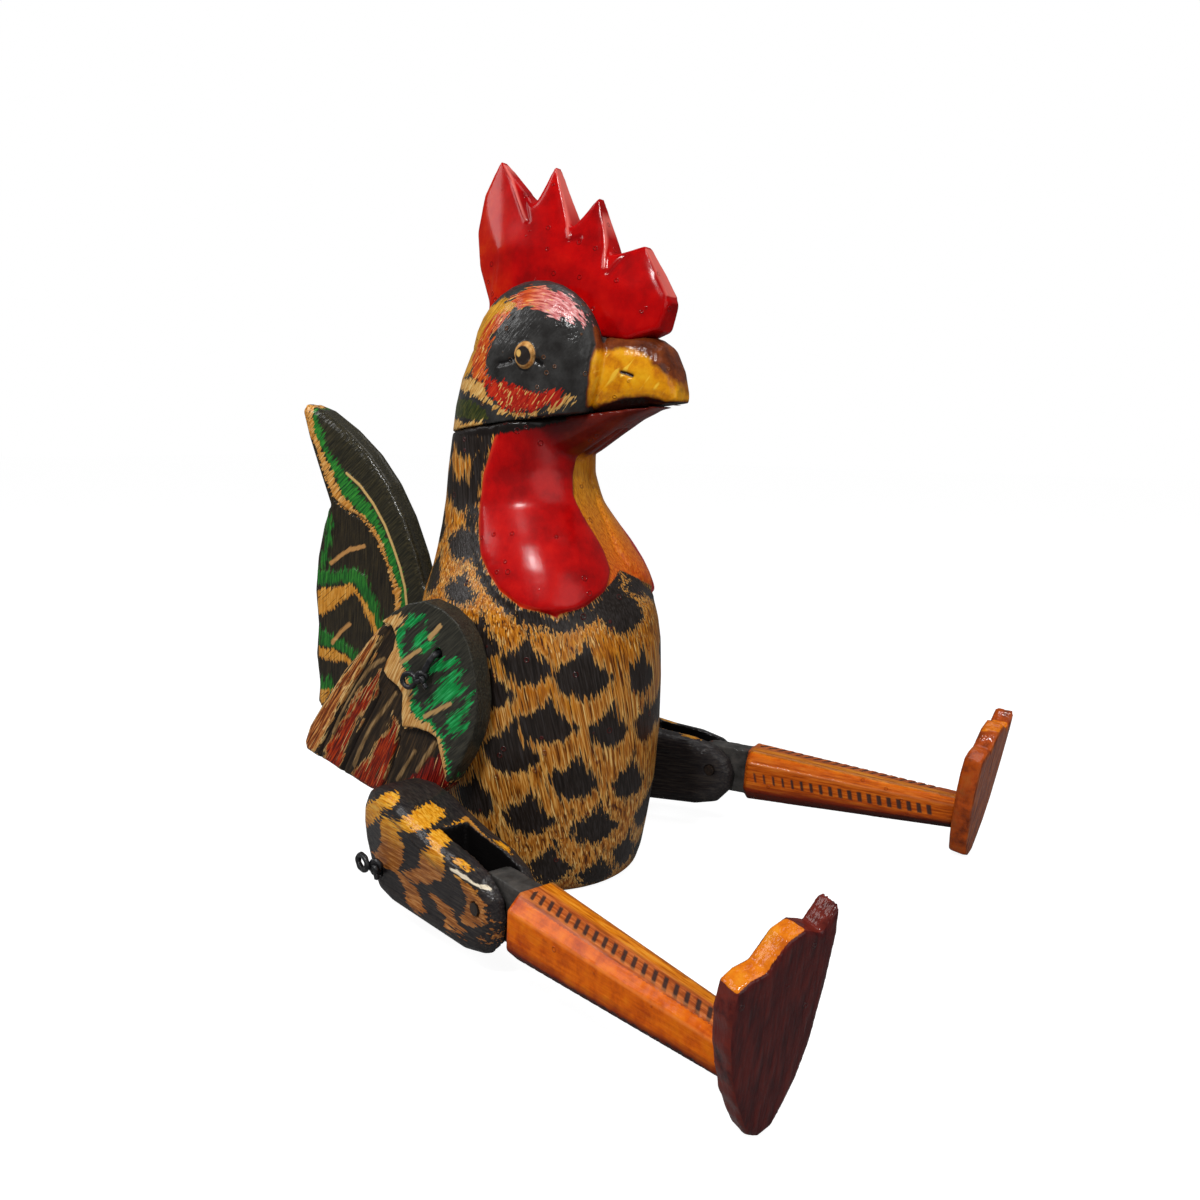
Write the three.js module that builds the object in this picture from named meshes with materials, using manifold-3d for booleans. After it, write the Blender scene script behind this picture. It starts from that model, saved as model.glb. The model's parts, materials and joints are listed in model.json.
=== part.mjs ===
// A jointed wooden rooster that sits on a shelf. Millimetres, +Z up, the beak points along -Y.
// The origin is the centre of the flat face that the body sits on.
// The rooster's right side is -X.
import * as THREE from 'three';
import { mergeVertices } from 'three/addons/utils/BufferGeometryUtils.js';
import Module from 'manifold-3d';

const wasm = await Module();
wasm.setup();

// Fits
const SEAM_GAP = 0.3; // glued seams and let-in boards
const PIN_GAP = 0.15; // round pins in their holes, on the radius
const HINGE_GAP = 0.8; // each side of a moving tongue or wing
const FACETS = 24; // round pins and holes
const THROUGH = 3; // a hole is cut this many times as long as the wood is thick

// The glued seam between neck and head, a plane that rises towards the beak
const SEAM_HEIGHT = 205; // above the origin, on the axis of the body
const SEAM_TILT = THREE.MathUtils.degToRad(-7);
const NECK_FOOT = 147; // the rows below stretch from here up to keep the neck at the seam
const NECK_DRAWN = 58; // from the neck's foot to the seam, in those rows

// Body, from the base to the neck: height, centre along Y, half width, half depth
const BODY_RINGS = [
  [0, 0, 43, 42],
  [2.5, 0, 46, 45],
  [10, 0, 48.5, 47.5],
  [24, 0, 51, 50],
  [42, 0, 53, 53],
  [66, 0, 54.5, 55],
  [90, 0.5, 54.5, 56],
  [108, 1.5, 54, 56.5],
  [118, 2.3, 52.5, 56],
  [125, 3, 50.5, 55],
  [131, 4, 47.5, 52.5],
  [138, 5.5, 43.5, 49],
  [147, 8, 39, 45],
  [158, 10.5, 34.5, 41],
  [170, 13, 31, 37],
  [183, 14.5, 30, 34],
  [198, 13.2, 30, 32.5],
  [212, 11, 30.5, 32],
];
const BODY_SIDES = 64;
const BODY_STEP = 5; // longest step between rings where the wattles lie
const RING_CLOSEST = 1.2; // of two rings closer than this, one is left out

// Wattle lobes, raised from the throat and the chest on both sides of the front.
// Each row is a height with the lobe's front and back edges, in degrees round from the front.
const LOBE_EDGES = [
  [125.5, 47, 52],
  [128.5, 34, 65],
  [134.5, 20, 75],
  [141.5, 10, 82],
  [150, 7, 88],
  [161, 11, 90],
  [174, 16, 88],
  [184, 10, 84.5],
  [200, 3, 76.5],
  [212, 0, 72],
];
const LOBE_RISE = 2.6; // step up to the lobe at its edge
const LOBE_BELLY = 5.5; // further swell in the middle of the lobe
const LOBE_BELLY_HEIGHT = 147;
const LOBE_BELLY_REACH = 30; // how far the swell runs up and down
const LOBE_EDGE_WIDTH = 7; // degrees over which the edge rises

// Head, from inside the neck to the crown, in the body's terms, with cheeks and eyes.
// All heights of the head, the beak and the comb are above the seam's middle.
const HEAD_RINGS = [
  [-15, 13.9, 30, 33],
  [-7, 13.2, 30, 32.5],
  [7, 11, 30.5, 32],
  [19, 7.5, 31, 31.5],
  [30, 4, 30, 29.5],
  [40, 0.5, 28, 26.5],
  [48, -3, 24, 22.5],
  [55, -6, 17.5, 16.5],
  [59, -7.5, 9, 8.5],
];
const CHEEK = { at: [17.5, -8, 26], half: [15, 33.5, 34] };
const EYE = { at: [31.8, -12.2, 27.8], half: [2.4, 5.8, 6.4] };

// Beak halves as sections along Y: place, bottom, top, half width
const UPPER_BEAK = [
  [-8, -5, 41, 20],
  [-25, -1, 39.5, 19],
  [-38, 2, 38, 17.5],
  [-50, 5, 37, 15],
  [-58, 7, 35.5, 12.5],
  [-63.5, 7, 32, 10.5],
  [-67.5, 7, 24.5, 8.5],
  [-70.5, 7.3, 15, 5.5],
];
const LOWER_BEAK = [
  [4, -24, 39, 25],
  [-15, -18, 35, 21.5],
  [-25, -13, 31, 19],
  [-36, -6, 26, 16.5],
  [-47, 1, 19, 14],
  [-57, 5.5, 14, 11],
  [-64, 7, 12.5, 8.5],
  [-68.5, 7.8, 11, 5.5],
];
const BEAK_SIDES = 20;
const BEAK_SQUARENESS = 2.8; // exponent of the beak's rounded sections
const NECK_DOWEL = { radius: 5, below: 22, above: 16 };

// Comb: the outline from the rear foot over the four points to the front foot,
// as Y, Z and half thickness
const COMB_OUTLINE = [
  [26.5, 51, 7], [33.5, 69, 6], [35.5, 85, 5], [32, 101, 4], [23.5, 115, 2],
  [3.5, 94, 6], [-6, 109.5, 2], [-16.5, 82.5, 6.5],
  [-28.5, 94.5, 2], [-37, 70, 6.5], [-52, 73, 2.5],
  [-58.5, 62, 5], [-65.5, 49.5, 5.5], [-61.5, 38, 7],
];
const COMB_RIDGES = [[19, 77], [-9, 74], [-29, 63], [-44, 55]]; // the foot of each ridge
const COMB_POINTS = [4, 6, 8, 10]; // which outline corners are the points
const COMB_FOOT = [[-48, 34], [-20, 38], [8, 42], [26, 42]]; // let into the head
const COMB_RIDGE_HALF = 10; // half thickness at the ridges and the foot
const COMB_DOWEL = { radius: 3, y: -6, low: 21, high: 57 };

// Tail board: the outline from its root round the sickle and the second feather, Y then Z
const TAIL_OUTLINE = [
  [48, 64], [48, 112], [62, 118], [69, 126], [73.5, 140], [81.5, 158], [91.5, 174],
  [104, 188], [119.5, 200], [136, 209.5], [149.5, 213.5], [151.5, 209.5], [147.5, 196.5],
  [140.5, 179.5], [133, 162], [138, 151.5], [143, 134.5], [145.5, 116], [144, 98], [146, 82],
  [144, 66], [145.5, 55.5], [138.5, 49.5], [120, 47.5], [90, 52], [66, 59.5],
];
const TAIL_THICKNESS = 11;
const TAIL_BEVEL = 3.2;
const TAIL_DOWEL = { radius: 2.5, heights: [78, 100], inBody: 16, inTail: 14 };

// Wing board: shoulder disc and the feathers behind it, Y then Z
const SHOULDER = { y: 6.5, z: 109 }; // the cord's hole
const WING_OUTLINE = [
  [14, 130.5], [4, 127.8], [-4, 122.7], [-9, 115.5], [-11.5, 108.4], [-13.2, 100], [-14.2, 91],
  [-13.4, 82], [-10.8, 74], [-6, 64.5], [0, 56], [4.5, 50], [9, 46.5], [15, 44.6], [22, 44.3],
  [30, 43.3], [36, 44], [41, 43], [45, 41], [50, 40.6], [56, 42.2], [63, 44.5], [71, 46.5],
  [79, 49.2], [86, 50.6], [91, 52.2], [92, 56], [88.5, 64], [78, 78], [66.5, 92.3], [55, 104],
  [44.5, 114.6], [38.5, 118.9], [31, 124.3], [22.5, 128.5],
];
const WING_THICKNESS = 9;
const WING_BEVEL = 2;
// the raised shoulder, which the wing's own outline ends in front
const WING_STEP = {
  rise: 2.6,
  bevel: 0.8,
  outline: [
    [42, 119.5], [32.5, 117.6], [30.5, 113.5], [32, 108], [35.5, 103], [38, 97.5], [35.5, 94.5],
    [29.5, 91.5], [27, 88.5], [27.8, 80], [27.5, 73.8], [19.5, 74.6], [12, 73.8], [8, 72],
    [5.5, 63], [3, 54], [-12, 50], [-30, 92], [-12, 134], [34, 134],
  ],
};

// Cords
const CORD_RADIUS = 1.5;
const CORD_HOLE_RADIUS = 2.2;
const KNOT_RADIUS = 3.6;
const KNOT_SHAPE = [0.85, 1, 1.15]; // share of its radius along X, Y and Z
const LOOP_RADIUS = 3.6;
const LOOP_CORD_RADIUS = CORD_RADIUS * 0.9; // pulled tight
const LOOP_REACH = KNOT_RADIUS + LOOP_RADIUS * 0.7; // from the knot to the loop's centre
const LOOP_OUT = 1.2; // the loop stands further out than the knot
const KNOT_STANDOFF = 0.5; // between a knot and the wood that it stops
const CORD_SLACK = 2; // free cord between the body and a thigh
const SHOULDER_RUN_SHORT = 4; // the run through the body ends inside its hole
const CORD_LAP = 0.3; // share of its radius by which two runs of the cord meet
const CORD_TURN_SHARE = 1.04; // a turn's radius as a share of the cord's
const SHOULDER_DROP = [5.5, -10.5]; // from the hole to the knot, along Y and Z
const SHOULDER_LOOP = [0.95, -0.25]; // which way a loop leaves its knot, along Y and Z
const HIP_DROP = [-4, 4.5];
const HIP_LOOP = [1, 0.1];

// Legs
const HIP = { bend: 65, y: 11.5, z: 21 }; // where the cord turns from the body into a thigh
const HIP_SKEW = THREE.MathUtils.degToRad(5.5); // the hole runs back towards the left
const SPLAY = { right: -17, left: 11 }; // degrees about Z
const LIFT = { right: -1, left: 1 }; // degrees that a thigh's front end stands up
const THIGH_HALF = 15; // half thickness
const THIGH_BEVEL = 6.5;
const THIGH_TAPER = { rear: 0.66, front: 0.74 }; // share of the thickness left at each end
const THIGH_HOLE_HEIGHT = 12; // of the cord's hole above the underside
const KNEE_FORWARD = 67; // hip to knee
const KNEE_HEIGHT = 20;
// forward of the hip, and above the underside
const THIGH_OUTLINE = [
  [-3, 1.2], [-8.5, 5.5], [-14, 12], [-19.5, 18.5], [-22.8, 27], [-22, 35], [-16.5, 42],
  [-8, 45.8], [2, 46.5], [14, 44.5], [28, 40.5], [42, 37.5], [57, 35.5], [69, 32], [76.5, 26],
  [79, 18], [77, 9], [70, 2], [59, 0], [8, 0],
];
const SLOT_HALF = 6;
const SLOT_DEPTH = 33; // behind the knee
const TONGUE_ROUND = 11.5; // radius about the knee
const SHIN_START = 18; // knee to the shin's end face
const SHIN_LENGTH = 105;
const SHIN_TOP = { half: 13, width: 12.6 };
const SHIN_END = { half: 7.8, width: 8.4 };
const SHIN_EDGE = 2; // chamfer round the end face by the knee
const SHIN_OVERRUN = 12; // cut back to the slant of the foot
const TONGUE_ROOT = 6; // how far the tongue runs into the shin
const SHIN_CHAMFER = 0.42; // share of the half size taken by each octagon corner
const KNEE_PIN_RADIUS = 2.5;
const KNEE_PIN_SHARE = 0.88; // of the thigh's full thickness

// Feet: outline across and up from the shin's axis
const FOOT_THICKNESS = 9;
const FOOT_BEVEL = 1.6;
const FOOT_LEAN = THREE.MathUtils.degToRad(6); // away from square to the shin
const FOOT_TURN = { right: -8, left: -15 }; // degrees about Z, from square to the shin
const HEEL_DROP = 22.1; // from the shin's axis down to the shelf
const FOOT_OUTLINE = [
  [0, -21], [4.8, -19], [8.2, -12.5], [11.7, -4.5], [14.7, 7], [17, 26.5], [18, 42], [17, 51.5],
  [11.2, 44], [5, 46.5], [-1, 44], [-7.3, 36], [-12.7, 34.8], [-17, 32], [-17.9, 24],
  [-17, 15], [-14.7, 4.5], [-11.7, -4.5], [-8.2, -12.5], [-4.8, -19],
];
const FOOT_DOWEL = { radius: 3, inShin: 18, inFoot: 6 };

// Finishes
const PAINT = {
  body: 0xc8872a,
  red: 0xc8100c,
  beak: 0xd98a18,
  tail: 0x2a5a32,
  wing: 0x1d7a46,
  shin: 0xc85a14,
  foot: 0x5c1a16,
  cord: 0x111111,
  peg: 0xb98d5a,
};
const finish = (color, roughness = 0.35) => (
  new THREE.MeshStandardMaterial({ color, roughness, metalness: 0 })
);

// Solids
function toSolid(geometry) {
  const bare = geometry.clone();
  bare.deleteAttribute('normal');
  bare.deleteAttribute('uv');
  const merged = mergeVertices(bare, 1e-4);
  return new wasm.Manifold(new wasm.Mesh({
    numProp: 3,
    vertProperties: merged.attributes.position.array,
    triVerts: Uint32Array.from(merged.index.array),
  }));
}

function toGeometry(solid) {
  const mesh = solid.getMesh();
  const geometry = new THREE.BufferGeometry();
  geometry.setAttribute('position', new THREE.BufferAttribute(mesh.vertProperties, 3));
  geometry.setIndex(new THREE.BufferAttribute(mesh.triVerts, 1));
  geometry.computeVertexNormals();
  return geometry;
}

// A closed skin over rings of points that run anticlockwise seen from the last ring's side
function loft(rings) {
  const count = rings[0].length;
  const points = rings.flat();
  const triangles = [];
  for (let level = 1; level < rings.length; level += 1) {
    const low = (level - 1) * count;
    const high = level * count;
    for (let i = 0; i < count; i += 1) {
      const j = (i + 1) % count;
      triangles.push(low + i, low + j, high + j, low + i, high + j, high + i);
    }
  }
  const last = (rings.length - 1) * count;
  const centre = (ring) => ring.reduce((sum, p) => sum.add(p), new THREE.Vector3())
    .divideScalar(count);
  const bottom = points.push(centre(rings[0])) - 1;
  const top = points.push(centre(rings[rings.length - 1])) - 1;
  for (let i = 0; i < count; i += 1) {
    const j = (i + 1) % count;
    triangles.push(bottom, j, i, top, last + i, last + j);
  }
  const geometry = new THREE.BufferGeometry().setFromPoints(points);
  geometry.setIndex(triangles);
  return geometry;
}

function ellipsoid({ at, half }, side = 1, sides = 32) {
  const ball = new THREE.SphereGeometry(1, sides, sides / 2);
  ball.rotateX(Math.PI / 2);
  ball.scale(...half);
  ball.translate(side * at[0], at[1], at[2]);
  return toSolid(ball);
}

// A board whose outline is given in the YZ plane, centred on X = 0
const SIDE_VIEW = new THREE.Matrix4().makeBasis(
  new THREE.Vector3(0, 1, 0),
  new THREE.Vector3(0, 0, 1),
  new THREE.Vector3(1, 0, 0),
);

function board(outline, thickness, bevel = 0, segments = 2) {
  const shape = new THREE.Shape(outline.map(([u, v]) => new THREE.Vector2(u, v)));
  const geometry = new THREE.ExtrudeGeometry(shape, {
    depth: thickness - 2 * bevel,
    bevelEnabled: bevel > 0,
    bevelThickness: bevel,
    bevelSize: bevel,
    bevelOffset: -bevel,
    bevelSegments: segments,
    curveSegments: 6,
  });
  geometry.translate(0, 0, bevel - thickness / 2);
  return geometry;
}

const sideBoard = (...args) => board(...args).applyMatrix4(SIDE_VIEW);

function rod(radius, length, axis, at) {
  const cylinder = new THREE.CylinderGeometry(radius, radius, length, FACETS);
  if (axis === 'x') cylinder.rotateZ(-Math.PI / 2);
  if (axis === 'z') cylinder.rotateX(Math.PI / 2);
  cylinder.translate(...at);
  return cylinder;
}

function block(size, at) {
  const box = new THREE.BoxGeometry(...size);
  box.translate(...at);
  return box;
}

// A block larger than the head whose lower face lies in the seam, raised by a gap
function aboveSeam(gap) {
  const size = SEAM_HEIGHT * 2;
  const slab = new THREE.BoxGeometry(size, size, size);
  slab.translate(0, 0, size / 2);
  slab.rotateX(SEAM_TILT);
  slab.translate(0, 0, SEAM_HEIGHT + gap);
  return toSolid(slab);
}

function addMesh(parent, name, shape, material) {
  const geometry = shape.isBufferGeometry ? shape : toGeometry(shape);
  const mesh = new THREE.Mesh(geometry, material);
  mesh.name = name;
  parent.add(mesh);
  return mesh;
}

// Torso
const bodyHalfWidth = Math.max(...BODY_RINGS.map((ring) => ring[2]));

function rowAt(rows, height) {
  const next = rows.findIndex((row) => row[0] >= height);
  if (next <= 0) return rows[next < 0 ? rows.length - 1 : 0];
  const [low, high] = [rows[next - 1], rows[next]];
  const share = (height - low[0]) / (high[0] - low[0]);
  return low.map((value, i) => THREE.MathUtils.lerp(value, high[i], share));
}

// The neck's rows, stretched so that it ends just above the seam
const neckStretch = (SEAM_HEIGHT - NECK_FOOT) / NECK_DRAWN;
const toSeam = ([z, ...rest]) => [NECK_FOOT + (z - NECK_FOOT) * (z > NECK_FOOT ? neckStretch : 1), ...rest];
const bodyRows = BODY_RINGS.map(toSeam);
const lobeRows = LOBE_EDGES.map(toSeam);

// How far the wattle stands out of the body at a height and an angle from the front
function lobeRise(height, degrees) {
  if (height < lobeRows[0][0]) return 0;
  const [, front, back] = rowAt(lobeRows, height);
  const [fade, step] = [LOBE_EDGE_WIDTH / 2, THREE.MathUtils.smoothstep];
  const edge = step(degrees, front - fade, front + fade) - step(degrees, back - fade, back + fade);
  const across = THREE.MathUtils.clamp((degrees - front) / Math.max(back - front, 1), 0, 1);
  const up = THREE.MathUtils.clamp((height - LOBE_BELLY_HEIGHT) / LOBE_BELLY_REACH, -1, 1);
  const belly = Math.sin(Math.PI * across) * Math.cos(up * Math.PI / 2) ** 2;
  return Math.max(edge, 0) * LOBE_RISE + belly * LOBE_BELLY;
}

function bodyRing([z, y, halfWidth, halfDepth], lobes = true) {
  return Array.from({ length: BODY_SIDES }, (_, i) => {
    const angle = (i / BODY_SIDES) * Math.PI * 2;
    const fromFront = Math.abs(THREE.MathUtils.radToDeg(
      Math.atan2(Math.cos(angle), -Math.sin(angle)),
    ));
    const rise = lobes ? lobeRise(z, fromFront) : 0;
    return new THREE.Vector3(
      (halfWidth + rise) * Math.cos(angle),
      y + (halfDepth + rise) * Math.sin(angle),
      z,
    );
  });
}

function torsoRings() {
  const heights = bodyRows.map(([z]) => z);
  const top = heights[heights.length - 1];
  for (let z = lobeRows[0][0] - 2; z < top; z += BODY_STEP) heights.push(z);
  heights.sort((a, b) => a - b);
  return heights.filter((z, i, all) => i === 0 || z - all[i - 1] > RING_CLOSEST)
    .map((z) => bodyRing(rowAt(bodyRows, z)));
}

// A rounded box section in the XZ plane, anticlockwise seen from -Y
function beakRing([y, bottom, top, half]) {
  const power = 2 / BEAK_SQUARENESS;
  const soften = (value) => Math.sign(value) * Math.abs(value) ** power;
  return Array.from({ length: BEAK_SIDES }, (_, i) => {
    const angle = (i / BEAK_SIDES) * Math.PI * 2;
    return new THREE.Vector3(
      half * soften(Math.cos(angle)),
      y,
      (top + bottom) / 2 + ((top - bottom) / 2) * soften(Math.sin(angle)),
    );
  });
}

const beak = (sections) => toSolid(loft(sections.map(beakRing))).translate(0, 0, SEAM_HEIGHT);

const tailBoard = () => sideBoard(TAIL_OUTLINE, TAIL_THICKNESS, TAIL_BEVEL);
const tailDowelRods = (extra) => TAIL_DOWEL.heights.map((z) => {
  const length = TAIL_DOWEL.inBody + TAIL_DOWEL.inTail + 2 * extra;
  const y = TAIL_OUTLINE[0][0] + (TAIL_DOWEL.inTail - TAIL_DOWEL.inBody) / 2;
  return rod(TAIL_DOWEL.radius + extra, length, 'y', [0, y, z]);
});
const neckDowelRod = (extra) => rod(
  NECK_DOWEL.radius + extra,
  NECK_DOWEL.below + NECK_DOWEL.above + 2 * extra,
  'z',
  [0, 0, SEAM_HEIGHT + (NECK_DOWEL.above - NECK_DOWEL.below) / 2],
);
const combDowelRod = (extra) => rod(
  COMB_DOWEL.radius + extra,
  COMB_DOWEL.high - COMB_DOWEL.low + 2 * extra,
  'z',
  [0, COMB_DOWEL.y, SEAM_HEIGHT + (COMB_DOWEL.high + COMB_DOWEL.low) / 2],
);

function torsoSolid() {
  let torso = toSolid(loft(torsoRings()));
  torso = torso.add(beak(LOWER_BEAK));
  torso = torso.subtract(aboveSeam(0));
  const slot = sideBoard(TAIL_OUTLINE, TAIL_THICKNESS + 2 * SEAM_GAP);
  slot.translate(0, -SEAM_GAP, 0);
  torso = torso.subtract(toSolid(slot));
  for (const dowel of tailDowelRods(PIN_GAP)) torso = torso.subtract(toSolid(dowel));
  torso = torso.subtract(toSolid(neckDowelRod(PIN_GAP)));
  for (const [{ y, z }, skew] of [[SHOULDER, 0], [HIP, HIP_SKEW]]) {
    const hole = rod(CORD_HOLE_RADIUS, bodyHalfWidth * THROUGH, 'x', [0, 0, 0]);
    hole.rotateZ(skew);
    hole.translate(0, y, z);
    torso = torso.subtract(toSolid(hole));
  }
  return torso;
}

// Comb: a thick board carved to a ridge under each point
function combRows() {
  const outline = COMB_OUTLINE.map(([y, z, half]) => ({ y, z, half }));
  const foot = COMB_FOOT.map(([y, z]) => ({ y, z, half: COMB_RIDGE_HALF }));
  const ridges = COMB_RIDGES.map(([y, z]) => ({ y, z, half: COMB_RIDGE_HALF }));
  return { outline, foot, ridges };
}

function combSolid(grow = 0) {
  const { outline, foot, ridges } = combRows();
  const rim = [...outline, ...foot];
  const all = [...rim, ...ridges];
  const firstRidge = rim.length;
  const faces = [];
  // each stretch of rim belongs to the ridge under it
  const owner = (index) => {
    if (index >= outline.length) {
      const back = index - outline.length;
      return firstRidge + Math.max(0, COMB_RIDGES.length - 1 - back);
    }
    const ends = COMB_POINTS.map((point) => point + 1);
    const found = ends.findIndex((end) => index < end);
    return firstRidge + (found < 0 ? COMB_RIDGES.length - 1 : found);
  };
  for (let i = 0; i < rim.length; i += 1) {
    const j = (i + 1) % rim.length;
    faces.push([i, j, owner(i)]);
    if (owner(i) !== owner(j)) faces.push([j, owner(j), owner(i)]);
  }
  const points = [];
  for (const sign of [1, -1]) {
    for (const { y, z, half } of all) points.push(new THREE.Vector3(sign * (half + grow), y, z));
  }
  const triangles = [];
  const size = all.length;
  // the rim runs anticlockwise seen from +X
  for (const [a, b, c] of faces) {
    triangles.push(a, b, c, a + size, c + size, b + size);
  }
  for (let i = 0; i < rim.length; i += 1) {
    const j = (i + 1) % rim.length;
    triangles.push(i, i + size, j, j, i + size, j + size);
  }
  const geometry = new THREE.BufferGeometry().setFromPoints(points);
  geometry.setIndex(triangles);
  geometry.translate(0, 0, SEAM_HEIGHT);
  return toSolid(geometry);
}

// Head
function headSolid() {
  let head = toSolid(loft(HEAD_RINGS.map((row) => bodyRing(row, false))));
  for (const side of [-1, 1]) {
    head = head.add(ellipsoid(CHEEK, side));
    head = head.add(ellipsoid(EYE, side, 16));
  }
  head = head.translate(0, 0, SEAM_HEIGHT);
  head = head.add(beak(UPPER_BEAK));
  head = head.intersect(aboveSeam(SEAM_GAP));
  head = head.subtract(combSolid(SEAM_GAP));
  head = head.subtract(toSolid(combDowelRod(PIN_GAP)));
  return head.subtract(toSolid(neckDowelRod(PIN_GAP)));
}

// Wings
function wingSolid(side) {
  const wing = sideBoard(WING_OUTLINE, WING_THICKNESS, WING_BEVEL);
  const depth = WING_STEP.rise + WING_THICKNESS / 2;
  const raised = sideBoard(WING_STEP.outline, depth, WING_STEP.bevel);
  raised.translate(side * depth / 2, 0, 0);
  const outline = toSolid(sideBoard(WING_OUTLINE, WING_THICKNESS * 3));
  const shoulder = toSolid(raised).intersect(outline);
  const hole = rod(CORD_HOLE_RADIUS, WING_THICKNESS * THROUGH, 'x', [0, SHOULDER.y, SHOULDER.z]);
  return toSolid(wing).add(shoulder).subtract(toSolid(hole));
}

// Cords: a straight run through the wood, a knot outside each end and a small loop by it
function hipExit(side) {
  return new THREE.Vector3(side * HIP.bend, HIP.y + side * HIP.bend * Math.tan(HIP_SKEW), HIP.z);
}

function cordRun(from, to) {
  const section = new THREE.Shape().absarc(0, 0, CORD_RADIUS, 0, Math.PI * 2);
  return toSolid(new THREE.ExtrudeGeometry(section, {
    steps: 1, curveSegments: 5, extrudePath: new THREE.LineCurve3(from, to), bevelEnabled: false,
  }));
}

function knotSolid(at, side, lean) {
  const ball = new THREE.SphereGeometry(KNOT_RADIUS, 12, 8);
  ball.scale(...KNOT_SHAPE);
  ball.translate(...at);
  const loop = new THREE.TorusGeometry(LOOP_RADIUS, LOOP_CORD_RADIUS, 6, 16);
  loop.rotateY(Math.PI / 2);
  loop.translate(
    at.x + side * LOOP_OUT,
    at.y + lean[0] * LOOP_REACH,
    at.z + lean[1] * LOOP_REACH,
  );
  return toSolid(ball).add(toSolid(loop));
}

// exits holds the two places where the cord leaves the body, bends where it turns outside
// the wood, and knots the two knots beyond
function cordSolid(exits, bends, knots, lean) {
  let cord = cordRun(exits[0], exits[1]);
  [-1, 1].forEach((side, i) => {
    const back = exits[1 - i].clone().sub(exits[i]).setLength(CORD_RADIUS * CORD_LAP);
    const turn = new THREE.SphereGeometry(CORD_RADIUS * CORD_TURN_SHARE, 10, 7);
    turn.translate(...bends[i]);
    cord = cord.add(cordRun(exits[i].clone().add(back), bends[i]))
      .add(toSolid(turn))
      .add(cordRun(bends[i], knots[i]))
      .add(knotSolid(knots[i], side, lean));
  });
  return cord;
}

// Thighs, built with the hip at the local origin and the knee along local -Y
const legPlace = ([forward, height]) => [-forward, height - THIGH_HOLE_HEIGHT];
const kneeAt = [0, -KNEE_FORWARD, KNEE_HEIGHT - THIGH_HOLE_HEIGHT];

function thighSolid() {
  const forwards = THIGH_OUTLINE.map(([forward]) => forward);
  const middle = (Math.max(...forwards) + Math.min(...forwards)) / 2;
  const reach = Math.max(...forwards) - middle;
  const slab = sideBoard(THIGH_OUTLINE.map(legPlace), THIGH_HALF * 2, THIGH_BEVEL, 3);
  const position = slab.attributes.position;
  for (let i = 0; i < position.count; i += 1) {
    const away = THREE.MathUtils.clamp((-position.getY(i) - middle) / reach, -1, 1);
    const left = away < 0 ? THIGH_TAPER.rear : THIGH_TAPER.front;
    position.setX(i, position.getX(i) * (1 - (1 - left) * Math.abs(away) ** 3));
  }
  const slotLength = SLOT_DEPTH * THROUGH;
  const slotCentre = -KNEE_FORWARD + SLOT_DEPTH - slotLength / 2;
  const slotSize = [SLOT_HALF * 2, slotLength, KNEE_HEIGHT * 2 * THROUGH];
  return toSolid(slab)
    .subtract(toSolid(block(slotSize, [0, slotCentre, 0])))
    .subtract(toSolid(rod(KNEE_PIN_RADIUS + PIN_GAP, THIGH_HALF * THROUGH, 'x', kneeAt)))
    .subtract(toSolid(rod(CORD_HOLE_RADIUS, THIGH_HALF * THROUGH, 'x', [0, 0, 0])));
}

// Shins, built with the knee at the local origin and the foot along local -Y
const SHIN_FAR = SHIN_START + SHIN_LENGTH;

function octagon(forward, halfWidth, halfHeight) {
  const cut = SHIN_CHAMFER;
  const corners = [
    [1, -1 + cut], [1, 1 - cut], [1 - cut, 1], [-1 + cut, 1],
    [-1, 1 - cut], [-1, -1 + cut], [-1 + cut, -1], [1 - cut, -1],
  ];
  return corners.map(([u, v]) => new THREE.Vector3(u * halfWidth, -forward, v * halfHeight));
}

function footDowelRod(extra) {
  const length = FOOT_DOWEL.inShin + FOOT_DOWEL.inFoot + 2 * extra;
  const middle = -SHIN_FAR + (FOOT_DOWEL.inShin - FOOT_DOWEL.inFoot) / 2;
  return rod(FOOT_DOWEL.radius + extra, length, 'y', [0, middle, 0]);
}

// Foot parts lean and turn about the middle of the shin's end
function placeOnShin(geometry, name) {
  geometry.rotateX(FOOT_LEAN);
  geometry.rotateZ(THREE.MathUtils.degToRad(FOOT_TURN[name]));
  geometry.translate(0, -SHIN_FAR, 0);
  return toSolid(geometry);
}

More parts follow.
